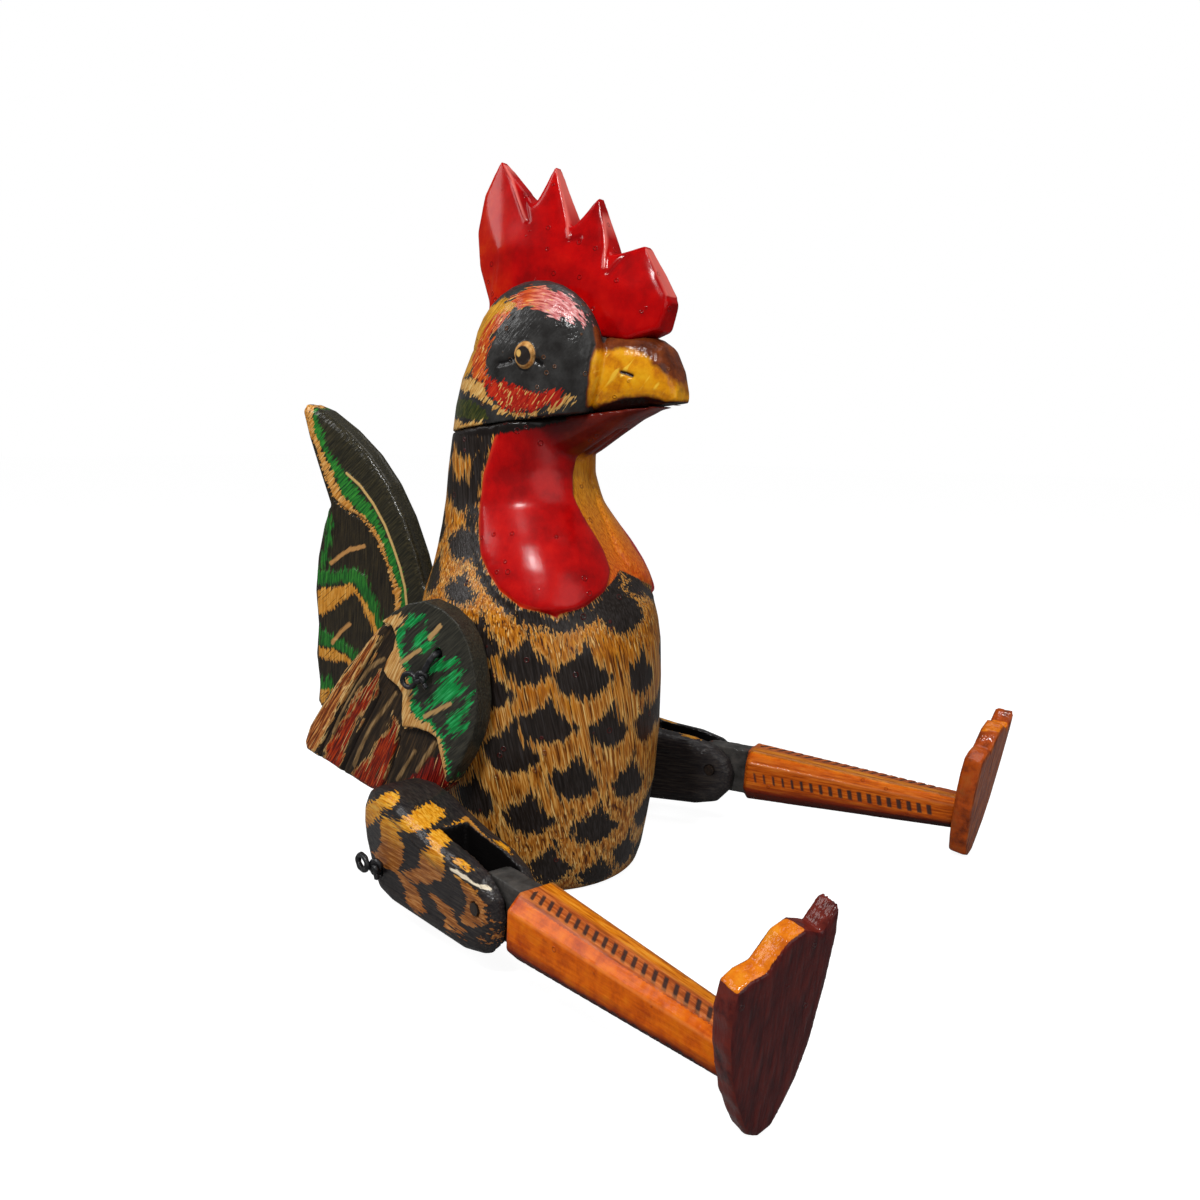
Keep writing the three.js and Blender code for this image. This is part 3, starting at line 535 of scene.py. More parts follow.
def make_torso():
    torso = carved_copy("torso", "body", voxel=1.0, rounds=14)
    points = points_of(torso)
    turn, radius = torso_places(points)
    height = points[:, 2]
    around = np.abs(turn)
    wattle = wattle_mask(turn, radius, height)
    spread = np.where(turn < 0, BAND_SPREAD * smooth_step(height, *BAND_RISE), 0)
    painted = np.where(turn < 0, wattle_mask(np.minimum(turn + spread, 0), radius, height), wattle)
    painted = np.minimum(painted, wattle)
    front = np.interp(height, WATTLE_ROWS[:, 0], WATTLE_ROWS[:, 1]) + spread
    chest = np.minimum((front - around) * radius * DEGREE + 0.4,
                       height - (CHEST_EDGE - CHEST_SLOPE * np.clip(around, 0, 40)))
    border = np.where(height < 200, np.minimum(wattle + BORDER, -wattle), -20)
    collar = np.minimum(height - np.interp(around, *COLLAR), around - COLLAR[0][0])
    seam = height - (SEAM - math.tan(SEAM_TILT) * (points[:, 1] - NECK_MIDDLE))
    reach = -points[:, 1] - np.interp(height, BODY_ROWS[:, 0], BODY_ROWS[:, 3] - BODY_ROWS[:, 1])
    jaw = np.minimum(reach - 1.0, height - JAW_FROM) \
        * smooth_step(height, JAW_FROM - 2, JAW_FROM + 6) - 3 * (height < JAW_FROM)
    dark = np.maximum.reduce([border, scale_mask(turn, radius, height, all_scales()),
                              np.where(around > 60, seam + 8, -20),
                              scale_mask(turn, radius, height, FRONT_CAPS)])
    twist = TWIST * height
    stroke = columns(points[:, 0] * np.cos(twist) - points[:, 1] * np.sin(twist),
                       points[:, 0] * np.sin(twist) + points[:, 1] * np.cos(twist),
                       height)
    keep(torso, wattle=painted, dark=dark, collar=collar, chest=chest, jaw=jaw,
         stroke=stroke, height=height, rear_rim=np.where(around > 55, 2.6 - wattle, OUTSIDE),
         throat=smooth_step(height, 172, 205) * smooth_step(-points[:, 1], -8, 24),
         front_edge=smooth_step(-turn, -25, 60))
    carve(torso, groove(wattle, 1.0, 0.9) * (height < 203))
    torso.data.materials.append(torso_paint())


def torso_paint():
    paint = Paint("body_paint")
    patches = paint.noise(paint.place(0.05), detail=2.0)
    upper = paint.strokes("703806 bc6c0c de9628", 1.0, 0.045)
    lower = paint.strokes("60320e b66e22 e2a854", 1.0, 0.04)
    level = paint.math("MULTIPLY_ADD", patches, -90.0, paint.mask("height"))
    paint.base = paint.blend(paint.ramp(level, 34.0, 78.0, 1.0, 0.0), upper, lower)
    paint.fine_hairs("4e260a", 1.3, 0.035, 0.59, 0.64)
    paint.fine_hairs("ecc074", 1.4, 0.04, 0.62, 0.68)
    # painted shade: darker brown over the lowest 16 mm, near the floor
    paint.tone("height", "603012", 16.0, 0.0, 0.6)
    # painted shade: an olive darkening from the front round to the left side
    paint.tone("front_edge", "54460e", 0.2, 1.0, 0.5)
    hair = paint.hair(1.15, 0.06)
    paint.layer(paint.mask("dark", 1.4), "e6b86c", 3.4, hair, 0.4, 0.35)
    black = paint.strokes("181310 261f1b 342f2e", 1.2, 0.08)
    paint.layer("dark", black, 3.2, hair, 0.35)
    band = paint.strokes("b2680a d08414 de9828")
    low_band = paint.strokes("ba420c d85c12 e2761e")
    band = paint.blend(paint.ramp(paint.mask("height"), 176.0, 138.0), band, low_band)
    paint.layer("chest", band, 0.3, hair)
    red = paint.mottled("960104 ba0204 cc0e08")
    red = paint.blend(paint.ramp(paint.mask("rear_rim"), 0.0, 1.6), red, "d62c0c")
    # the red darkens up under the jaw: partly darker paint, partly painted shade
    deep = paint.blend(paint.mask("throat"), red, "4a0204")
    wet = paint.layer("wattle", deep, soft=0.3)
    maroon = paint.mottled("4e0c0a 6c1a0e 843014", 0.06)
    paint.tone("jaw", maroon, -1.0, 4.0)
    paint.layer("collar", "1a1412", 0.8, hair, 0.5)
    paint.bubbles("600204", 8.5, 1.15, 0.6, 0.55)
    grain = paint.noise(paint.flow(1.3, 0.09), detail=3.0)
    paint.relief(paint.math("MULTIPLY", grain, paint.ramp(wet, 0.0, 1.0, 1.0, 0.15)), 0.3)
    paint.waves(0.05, 0.45, 1.0)
    return paint.varnish(0.5, 0.4, paint.ramp(wet, 0.0, 1.0, 0.17, 0.2))


make_torso()


# Head: outlines are distance along Y, then height above the seam
HEAD_PATCHES = {
    "brow":
    [(-3.7, 49.1), (0, 51.8), (-4, 54.1), (-8.6, 56.7), (-15.2, 55.7), (-21, 54), (-26.1, 51.8),
     (-30.1, 49.1), (-33.1, 45.5), (-36.4, 39.9), (-34.7, 40.7), (-31.7, 41.6), (-26.1, 42.1),
     (-21.5, 44.9), (-16.6, 46.8), (-11.4, 48.2), (-6.4, 47.7)],
    "nape_gold":
    [(11.9, 50.7), (3.8, 52.1), (-3.9, 50.7), (-7.8, 48.3), (-4.1, 47.8), (0.6, 43.9),
     (5.7, 38.7), (7.8, 34), (11.3, 28.1), (16.3, 25.9), (20.4, 21.1), (27, 19), (46, 16),
     (46, 40), (22, 52)],
    "nape_red":
    [(5.1, 44.2), (1.3, 46.4), (-2.3, 45.6), (1.8, 41.5), (5.5, 37.5), (8.5, 31.6), (10.7, 25.7),
     (8.7, 18.4), (12.1, 16), (17.9, 18.6), (20.2, 22.3), (20, 28.6), (15.8, 35.7), (11.3, 40.9)],
    "cheek_red":
    [(8.7, 18.4), (3.3, 17.1), (-4.1, 16.4), (-10, 14), (-16.8, 12.2), (-23.9, 12.8),
     (-28.6, 12.8), (-27, 9.9), (-19.8, 6.4), (-12.5, 4.2), (-5, 4.1), (2.2, 6.3), (6.8, 9.9),
     (9.7, 12.9)],
    "cheek_gold":
    [(19.1, 18.6), (10.4, 16), (8.9, 12.3), (5.5, 8.1), (-1.9, 4.5), (-12.5, 4), (-23.1, 7.6),
     (-30, 11.1), (-32.5, 10.6), (-31.0, 8.6), (-25.2, 5.6), (-12, 2.9), (-3.3, 2.4), (2.4, 4.0),
     (7.1, 6.2), (9.1, 8.6), (15.7, 10.5), (24.5, 13.3), (46, 16), (46, 20), (30, 19)],
    "nape_green":
    [(46, 13), (24.3, 10), (15.6, 8.1), (10, 4.4), (9.3, 1.4), (14.9, 0.1), (22.6, 1.3), (46, 4)],
    "nape_low":
    [(46, 3), (24.8, -0.6), (14.9, 0.1), (10.9, 0.2), (15, -3), (24, -3.7), (46, -5)],
    "beak_gold":
    [(-36, 28), (-40.8, 30.2), (-51.8, 30.7), (-58.4, 28.5), (-61.7, 24.4), (-66.6, 20.6),
     (-70.0, 15.8), (-71.6, 12), (-71.2, 10.0), (-66.6, 9.8), (-61.3, 11.2), (-56.6, 11.7),
     (-49.1, 11), (-41.8, 8.8), (-32, 5.2)]}
BEAK_EDGE = [(-38.2, 39.9), (-40.2, 32.2), (-38.9, 25.1), (-37.7, 15.9), (-35.1, 6.6), (-33, 0)]
NOSTRIL = [(-49, 21.1), (-51.1, 20.6), (-53.5, 19.6)]
EYE_AT, EYE_RING = (-12.3, 27.8), (5.4, 6.0)
PUPIL_AT, PUPIL = (-0.2, -0.4), (3.6, 3.9)  # from the middle of the eye, and half its size
GLINT_AT, GLINT = (1.8, 0.6), (1.0, 1.3)
BEAK_BACK, CHEEK_OUT = -30, 12  # along Y, and out from the middle
HEAD_STROKE = 132  # degrees
CROWN_MIDDLE, CROWN_SIZE = (-14, 12), 34
EYE_CORNERS = [(-16.5, 26.4), (-20.2, 24.1)], [(-6.6, 26.6), (-2.4, 25.4), (1.9, 24.8)]


def polar(points, centre, size):
    """Brush coordinates that run round a centre."""
    away = points - centre
    return (np.hypot(away[:, 0], away[:, 1]), np.arctan2(away[:, 1], away[:, 0]) * size)


def make_head():
    head = carved_copy("head", "body", voxel=0.62, rounds=2)
    points = points_of(head)
    flat = columns(points[:, 1], points[:, 2] - SEAM)
    side = points[:, 0]
    edge = np.array(BEAK_EDGE)[::-1]
    beak = np.interp(flat[:, 1], edge[:, 1], edge[:, 0]) - flat[:, 0]
    eye = flat - EYE_AT
    ring = 1 - np.hypot(*(eye / EYE_RING).T)
    pupil = 1 - np.hypot(*((eye - PUPIL_AT) / PUPIL).T)
    outer = np.abs(side) > CHEEK_OUT
    corners = beside(flat, 0.9, *EYE_CORNERS)
    nostril = beside(flat, 0.75, NOSTRIL)
    radius, round_brow = polar(flat, CROWN_MIDDLE, CROWN_SIZE)
    keep(head, **{name: inside(flat, outline) for name, outline in HEAD_PATCHES.items()})
    keep(head, beak=np.where(flat[:, 0] < BEAK_BACK, beak, OUTSIDE), beak_top=flat[:, 1],
         tip=-flat[:, 0], eye_ring=np.where(outer, ring * 5.5, OUTSIDE),
         pupil=np.where(outer, pupil * 3.8, OUTSIDE),
         glint=np.where(outer, 1.15 - np.hypot(*((eye - GLINT_AT) / GLINT).T), OUTSIDE),
         corner=np.where(outer, corners, OUTSIDE), nostril=nostril,
         stroke=brushed(side, flat, HEAD_STROKE), crown=columns(radius, side, round_brow))
    socket = np.where(outer, groove(ring * 5.5, 0.8, 0.55), 0)
    lid = np.where(outer, 0.5 * smooth_step(ring, 0.0, 0.25) - 0.35 * smooth_step(pupil, 0, 0.3),
                   0)
    cut = -0.9 * smooth_step(corners, -1.3, 0.4) * outer - 1.1 * smooth_step(nostril, -0.5, 0.4)
    carve(head, socket + lid + cut + groove(np.where(flat[:, 0] < BEAK_BACK, beak, 9), 0.7, 0.5))
    head.data.materials.append(head_paint())


def head_paint():
    paint = Paint("head_paint")
    paint.base = paint.mottled("22201f 323130 424140", 0.12)
    hair = paint.hair(0.8, 0.12)
    crown = paint.hair(0.8, 0.12, "crown")
    olive = paint.strokes("96680c cc8c18 e6b03c")
    gold = paint.strokes("b07832 d6a256 ecc882")
    rust = paint.strokes("962408 c4460e e08228")
    red = paint.strokes("96140c bc2214 d44022")
    paint.layer("nape_green", paint.strokes("222816 38401e 545022"), 1.4, hair)
    paint.layer("nape_low", gold, 2.0, hair)
    paint.layer("nape_gold", olive, 2.4, hair)
    paint.layer("nape_red", rust, 2.8, hair)
    paint.layer("cheek_gold", gold, 2.4, hair)
    paint.layer("cheek_red", red, 2.2, hair)
    within = paint.math("MAXIMUM", paint.mask("cheek_red"), paint.mask("nape_red"))
    paint.fine_hairs("ecbe6e", 1.5, 0.07, 0.62, 0.66, within=within)
    # the brow pales to pink towards the front: partly its pink paint, partly a painted highlight
    pink = paint.strokes("aa4646 d88282 eebeba", 1.2, 0.09, "crown")
    warm = paint.strokes("962c10 c64a1e dc803c", 1.2, 0.09, "crown")
    pink = paint.blend(paint.ramp(paint.mask("tip"), 10.0, 24.0), warm, pink)
    paint.layer("brow", pink, 2.4, crown)
    rear = paint.math("MINIMUM", paint.mask("brow", 0.6),
                      paint.math("SUBTRACT", 22.0, paint.mask("tip")))
    paint.fine_hairs("e6b460", 1.7, 0.06, 0.64, 0.69, "crown", rear)
    horn = paint.mottled("421a0c 682e12 8a4216", 0.12)
    paint.layer("beak", horn, soft=0.2)
    amber = paint.mottled("be6a06 e6980a f0b01c", 0.14)
    beak = paint.math("MINIMUM", paint.mask("beak"), paint.mask("beak_gold"))
    soft = paint.math("MULTIPLY", paint.broken("beak_gold", 0.25, 3.0), 0.4)
    soft = paint.math("MINIMUM", soft, paint.mask("beak", -0.5))
    paint.layer(soft, amber, soft=0.35)
    lines = paint.ramp(paint.noise(paint.flow(0.34, 0.045), 1.0, 0.5, 0.6), 0.56, 0.62)
    paint.base = paint.blend(paint.math("MULTIPLY", lines, paint.ramp(beak, 1.0, 3.0, 0, 0.75)),
                             paint.base, "fcce42")
    paint.bubbles("965406", 6.0, 0.9, 0.35, 0.35)
    # the dark band on the beak below the gold: the painted mouth line, with painted shade in the
    # mouth
    lip = paint.math("MULTIPLY", paint.ramp(paint.mask("beak"), 0.0, 0.5),
                     paint.ramp(paint.mask("beak_gold"), -0.2, -1.0))
    low = paint.ramp(paint.mask("beak_top"), 13.0, 11.0)
    paint.base = paint.blend(paint.math("MULTIPLY", lip, low), paint.base, "1a0a08")
    # painted shade in the carved corners of the eye
    paint.layer("corner", "141212", soft=0.4)
    paint.layer("eye_ring", paint.mottled("965c28 ce9652 e8ba78", 0.3), soft=0.2)
    paint.layer("pupil", "2a2422", soft=0.25)
    paint.layer("glint", "deb060", soft=0.15)
    # painted shade in the carved nostril
    paint.layer("nostril", "28140a", soft=0.25)
    paint.relief(hair, 0.06)
    paint.waves(0.16, 0.45)
    return paint.varnish(0.5, 0.4, 0.16)


make_head()


# Comb
COMB_RIDGES = [
    [(21.7, 318.2), (16.2, 310.9), (11, 301.7), (5.7, 292.5)],
    [(-6.5, 313.2), (-9.9, 304.3), (-13.7, 293.2), (-17.2, 283.1)],
    [(-30.3, 301), (-31.7, 290.3), (-34.4, 279.2), (-35.7, 269.5)],
    [(-52.8, 276.6), (-56.6, 270.2), (-61.2, 262.3), (-63.8, 257.5)]]
COMB_VALLEYS = [[(9.2, 305), (4.7, 292.4)], [(-22.4, 283.2), (-17.8, 282.2)],
                [(-43.9, 274.6), (-38, 267)]]
FLANK_FROM, FLANK_ROUNDS = 2.5, 110  # the board's faces are smoothed, its edge isn't
COMB_FOOT, COMB_LEAN = 262, 0.12


def make_comb():
    comb = carved_copy("comb", "body", voxel=0.55, rounds=2)
    group = comb.vertex_groups.new(name="flanks")
    for index, out in enumerate(np.abs(points_of(comb)[:, 0])):
        if out > FLANK_FROM:
            group.add([index], min(1.0, (out - FLANK_FROM) / 2), "REPLACE")
    apply_modifier(comb, "SMOOTH", factor=0.5, iterations=FLANK_ROUNDS, vertex_group="flanks")
    points = points_of(comb)
    flat = points[:, 1:]
    ridges = beside(flat, 0.0, *COMB_RIDGES)
    valleys = beside(flat, 0.0, *COMB_VALLEYS)
    rear = flat[:, 0] - (flat[:, 1] - COMB_FOOT) * COMB_LEAN
    keep(comb, ridges=ridges, valleys=valleys, rear=rear)
    face = smooth_step(np.abs(points[:, 0]), 1.5, 4.5)
    carve(comb, (0.5 * np.exp(-(ridges / 0.9) ** 2) + groove(valleys, 1.0, 0.5)) * face)
    comb.data.materials.append(comb_paint())


def comb_paint():
    paint = Paint("comb_paint")
    paint.base = paint.mottled("900104 b40204 c80c06", 0.07)
    orange = paint.mottled("a60c04 be2206 cc3a08", 0.1)
    paint.tone(paint.broken("rear", 0.06, 26.0), orange, 8.0, 30.0, 0.9)
    # painted highlight: pale pink along the ridges
    paint.tone("ridges", "ec786e", -0.8, -0.1, 0.75)
    # painted shade: darker red down the valleys
    paint.tone("valleys", "780006", -2.4, -0.3, 0.6)
    paint.bubbles("600004", 7.0, 1.0, 0.5, 0.5)
    paint.waves(0.05, 0.45, 1.0)
    return paint.varnish(0.5, 0.35, 0.16, 0.0)


make_comb()


# Tail: outlines are distance along Y, then height
TAIL_INNER = [(148.3, 212.7), (142.7, 195.7), (132.5, 173.8), (128.6, 165.9), (118.6, 159.9),
    (107.1, 156.3), (98.1, 145.1), (91.5, 135.5), (87.3, 120.7), (86.3, 111.4), (84, 92)]
SICKLE_GOLD = [(151, 214), (142.3, 212), (141.4, 199.2), (133.3, 186.6), (127.6, 177.4),
    (122, 167.4), (109.3, 158.7), (100.3, 152.5), (93.6, 143.7), (91.5, 137.1), (87.1, 129.1),
    (82.8, 121.1), (83, 111.8), (82, 92), (86.5, 92), (87.4, 112.2), (88.4, 120.5), (92.7, 133.7),
    (99.3, 145.8), (108.2, 156.3), (119.8, 159.9), (128.6, 165.4), (134.9, 174.6), (141.7, 191.5),
    (152, 206)]
SICKLE_GREEN = [(142.2, 213), (134.2, 199.3), (132, 190), (120.5, 179.3), (115.9, 175.3),
    (110.2, 169.6), (100.1, 161.7), (93.5, 152.9), (88, 144.1), (83.7, 133.5), (78.4, 121.5),
    (78.5, 114.7), (77, 92), (82, 92), (82.9, 112.6), (82.8, 121.1), (87.1, 129.1), (91.5, 137.1),
    (93.6, 143.7), (100.3, 152.5), (109.3, 158.7), (122, 167.4), (127.6, 177.4), (133.3, 186.6),
    (141.4, 199.2)]
TAIL_QUILL = [(118.1, 178.6), (109, 173), (100, 164.2), (92.3, 153.8), (86.9, 143.3),
              (82.6, 133.6), (79.5, 123.9), (78.5, 115.6), (77, 96)]
TAIL_GREENS = [
    [(133, 160), (134.5, 149.6), (136, 140.8), (141, 128), (137.5, 128), (133.7, 134),
     (131.3, 142.8), (129.8, 151.6)],
    [(142, 127), (126.6, 127.5), (114.7, 130.2), (106.6, 126.6), (101, 117.7), (96.6, 107.8),
     (94, 92), (98, 92), (101.3, 100.5), (104.6, 108.7), (110.3, 116.8), (114.9, 121.6),
     (125.6, 121.5), (142, 118.7)],
    [(142, 97), (130.1, 92), (119.3, 88.8), (114.6, 86.7), (106, 74), (112, 74), (118.2, 82.7),
     (129, 85.8), (142, 86.5)],
    [(142, 68), (134.4, 70.8), (130, 62), (136, 60.6), (142, 56.4)]]
TAIL_GOLDS = [
    [(142, 117), (126.9, 119.7), (116, 122.4), (112.6, 118.3), (106.9, 112.8), (101.2, 106.5),
     (97, 92), (100.5, 92), (102.5, 100.3), (107, 106.8), (110.4, 113.4), (115, 117.3),
     (124.7, 112), (132.1, 106.8), (142, 102.4)],
    [(142, 86.4), (127.8, 86), (120.6, 84.2), (112, 74), (115, 73), (121.9, 80.5), (128, 79.7),
     (135.4, 79.7), (142, 80.9)],
    [(142, 62.6), (132, 64.3), (138.6, 55.7), (142, 54)]]
TAIL_DASHES = [[(132, 131.6), (126.5, 135.2), (118, 139.8), (108.2, 142.1)],
               [(131.5, 89.6), (126.3, 95.5), (119.2, 100.6)]]
SICKLE_STROKE, TIP_STROKE = 142, 95  # degrees


def make_tail():
    tail = carved_copy("tail", "body", voxel=0.8)
    points = points_of(tail)
    flat, side = points[:, 1:], points[:, 0]
    sickle = inside(flat, TAIL_INNER + [(40, 92), (40, 214)])
    chevron = np.maximum(inside(flat, *TAIL_GOLDS), inside(flat, *TAIL_GREENS))
    keep(tail, sickle=sickle, gold=np.where(sickle > -2.5, inside(flat, SICKLE_GOLD), OUTSIDE),
         green=np.where(sickle > -2.5, inside(flat, SICKLE_GREEN), OUTSIDE),
         quill=beside(flat, 0.75, TAIL_QUILL), greens=inside(flat, *TAIL_GREENS),
         golds=inside(flat, *TAIL_GOLDS), dashes=beside(flat, 1.1, *TAIL_DASHES),
         stroke=brushed(side, flat, SICKLE_STROKE),
         upright=brushed(side, flat, TIP_STROKE))
    step = 1.1 * smooth_step(sickle, -0.7, 0.7) + groove(sickle + 0.8, 0.9, 0.5)
    behind = sickle < -0.5
    step += np.where(behind, 0.6 * smooth_step(chevron, -0.6, 0.6), 0)
    step += 0.35 * smooth_step(beside(flat, 1.0, TAIL_QUILL), -0.4, 0.5)
    face = smooth_step(np.abs(side), 1.5, 4.0)
    carve(tail, step * face)
    tail.data.materials.append(tail_paint())


def tail_paint():
    paint = Paint("tail_paint")
    paint.base = paint.strokes("1c1812 2c261c 3e3422", name="upright")
    paint.layer("sickle", paint.strokes("1e1d16 2e2b1f 423c28"), soft=0.5)
    hair = paint.hair(0.75, 0.13)
    upright = paint.hair(0.75, 0.13, "upright")
    green = paint.strokes("104a22 26762a 409c38")
    gold = paint.strokes("aa681e da9642 eebe78")
    soft = paint.strokes("1a421c 226826 3c8c32", name="upright")
    amber = paint.strokes("b26c18 d89232 e8b05a", name="upright")
    paint.layer("greens", soft, 3.2, upright, 1.0)
    paint.layer("golds", amber, 1.8, upright, 0.4)
    paint.layer("green", green, 3.0, hair, 0.8)
    paint.layer("gold", gold, 2.2, hair, 0.3)
    paint.fine_hairs("46280e", 1.6, 0.08, 0.63, 0.68,
                     within=paint.math("MAXIMUM", paint.mask("gold"), paint.mask("golds")))
    paint.layer("quill", "d6b06e", soft=0.25)
    paint.layer("dashes", "be8a50", 0.5, hair, 0.35)
    paint.relief(hair, 0.08)
    paint.waves(0.08, 0.7)
    return paint.varnish(0.5, 0.5, 0.17)


make_tail()


# Wings: outlines are distance along Y, then height, on the outer face
SHOULDER_EDGE = [(42, 119.5), (32.5, 117.6), (30.5, 113.5), (32, 108), (35.5, 103), (38, 97.5),
    (35.5, 94.5), (29.5, 91.5), (27, 88.5), (27.8, 80), (27.5, 73.8), (19.5, 74.6), (12, 73.8),
    (8, 72), (5.5, 63), (3, 54), (-12, 50), (-30, 92), (-12, 134), (34, 134)]
WING_GOLD = [(39.6, 119.4), (28.7, 122.3), (23.8, 123.4), (26.3, 119.5), (29.6, 117.3),
    (30.5, 113.4), (28.1, 107.4), (27.4, 101.3), (24.2, 97.9), (21, 90.8), (22.7, 84.3),
    (19.5, 79.7), (11.5, 77.8), (7.6, 74.1), (3.7, 69.1), (2.9, 63.6), (2.4, 52), (5.3, 60),
    (7.8, 71.6), (14, 73.2), (19.6, 73.8), (28.4, 72.6), (28.4, 79.7), (27.4, 88.7), (29.6, 91),
    (36.2, 94), (39, 97.3), (36.3, 102.7), (32.8, 108.2), (32.4, 112.6), (33, 116.6), (40.6, 117)]
WING_GREENS = [
    [(23.9, 118.5), (21.4, 123.7), (15.8, 125.5), (13.5, 122.1), (19.1, 119)],
    [(29.6, 116), (25.5, 117.7), (27.2, 112.5), (25.7, 107.7), (23.3, 101.8), (28.2, 103.7),
     (30.6, 108.4)],
    [(20.8, 108.9), (19.1, 113.5), (12.7, 118.5), (11.1, 116.8), (14.3, 112.8), (5.7, 115.6),
     (6.5, 112.5), (14.4, 109.1)],
    [(11.3, 102.1), (6.5, 105.8), (-2.8, 108.1), (-5.1, 106.6), (3.4, 102.5), (11.3, 99)],
    [(7.4, 91.5), (4.2, 98.1), (-2.7, 102.7), (-7.3, 103.9), (-6.6, 100.8), (-2.7, 97.2),
     (-10.6, 95.9), (-6.5, 92.3), (1.2, 88.7), (9, 86.3), (13, 83.8), (11.4, 88.4)],
    [(1.2, 82.5), (-4.2, 87), (-10.6, 89.9), (-9.5, 86), (-3.4, 80.8), (-9.8, 81.9), (-8.8, 79.3),
     (-1.1, 74.8), (1.3, 77.6)],
    [(22.7, 88.1), (17, 85.1), (14.7, 81.7), (9.1, 78.2), (5.2, 75.1), (2.9, 71.1), (1.3, 64.5),
     (0.6, 57.1), (2.9, 62.3), (5.2, 69.4), (11.5, 75.9), (19.5, 79.1), (23.6, 84.2)],
    [(24.5, 101), (20.5, 97), (18.2, 92.5), (21.4, 89.6), (24.4, 96)]]
WING_DASHES = [[(27, 102.8), (16.2, 109.3)], [(14, 80.6), (0, 88.4)], [(11, 114.7), (5, 120.8)]]
FEATHER_GOLD = [(44.2, 116), (41, 111.6), (47.5, 101.3), (57.4, 89), (68.4, 75.5), (77, 62.8),
    (82.9, 51.4), (91, 50), (94, 56.2), (90.2, 62.5), (81.4, 73.4), (70.1, 86.4), (58.1, 100),
    (48.4, 111.8)]
FEATHER_REDS = [
    [(42.1, 96.2), (43.6, 87.6), (50.6, 78.2), (58.8, 66.4), (64.5, 56.8), (69.2, 45), (75.6, 45),
     (81.2, 48), (72.5, 60.8), (64, 72.9), (56.6, 84.5), (49.5, 91.3)],
    [(35.3, 77.3), (30.3, 72.9), (31.3, 64.4), (36.5, 55.1), (42.8, 40), (50, 38), (57, 41),
     (61.3, 44), (52.1, 54.9), (44.9, 64.1), (37.9, 73)]]
FEATHER_LOW = [(8.5, 63.9), (3.7, 57.2), (3.6, 50), (7.8, 43), (15.1, 41), (24.1, 41),
               (33, 41.5), (27.5, 50.4), (19.8, 55.5), (13.3, 60.5)]
WING_QUILLS = [
    [(39.9, 101.9), (47.6, 97.4), (57.4, 87), (66.7, 73.8), (71.5, 63.7)],
    [(33.4, 87.5), (41.2, 78.3), (48.2, 70.1), (55.5, 58.3), (59.2, 50.3)],
    [(22.2, 63.4), (28.1, 55.3), (33.2, 48.5)],
    [(10.8, 69.1), (17.3, 61), (21.5, 54.5)]]
WING_GROOVES = [
    [(40.5, 111.6), (52.9, 95.4), (64.8, 78.7), (79.1, 57), (82, 48)],
    [(42.7, 86.5), (48.1, 77.3), (57.1, 64), (65.6, 49.2), (68, 43)],
    [(31.3, 68.4), (36.5, 54.1), (41.9, 43.6), (43, 40)]]
FEATHER_SINK = 0.7  # keeps the feathers clear of the thigh where both are swung down
FAN_CENTRE, FAN_SIZE = (-79, 281), 220  # where the feathers' strokes come from
SHOULDER_STROKE = 140  # degrees
WING_MIDDLE = 60.0  # of each board, out from the body's middle


def make_wing(name, side):
    wing = carved_copy("wing_" + name, "wing_" + name, voxel=0.6, rounds=2)
    points = points_of(wing)
    flat = points[:, 1:]
    out = points[:, 0] * side - WING_MIDDLE
    shoulder = inside(flat, SHOULDER_EDGE)
    feathers = shoulder < -0.5
    grooves = beside(flat, 0.0, *WING_GROOVES)
    quills = beside(flat, 0.9, *WING_QUILLS)
    fan_radius, fan_turn = polar(flat, FAN_CENTRE, FAN_SIZE)
    fan = columns(fan_turn, points[:, 0], fan_radius)
    first = np.where(feathers, inside(flat, FEATHER_GOLD), OUTSIDE)
    keep(wing, shoulder=shoulder, gold=np.where(shoulder > -2, inside(flat, WING_GOLD), OUTSIDE),
         greens=inside(flat, *WING_GREENS), dashes=beside(flat, 0.9, *WING_DASHES),
         first=first, reds=np.where(feathers, inside(flat, *FEATHER_REDS), OUTSIDE),
         low=np.where(feathers, inside(flat, FEATHER_LOW), OUTSIDE),
         quills=np.where(feathers, quills, OUTSIDE), grooves=np.where(feathers, grooves, OUTSIDE),
         stroke=fan, slant=brushed(points[:, 0], flat, SHOULDER_STROKE))
    face = smooth_step(np.abs(out), 1.5, 4.0)
    outer = out > 0
    slope = np.where(feathers & outer, 0.45 * smooth_step(grooves, -6, -1) - FEATHER_SINK, 0)
    quill = 0.4 * smooth_step(quills, -0.5, 0.5) * outer
    cut = np.where(feathers, groove(grooves, 0.9, 1.3) + quill, 0)
    cut += groove(shoulder + 0.9, 0.8, 0.6) * outer
    carve(wing, (slope + cut) * face)
    wing.data.materials.append(shared(wing_paint))


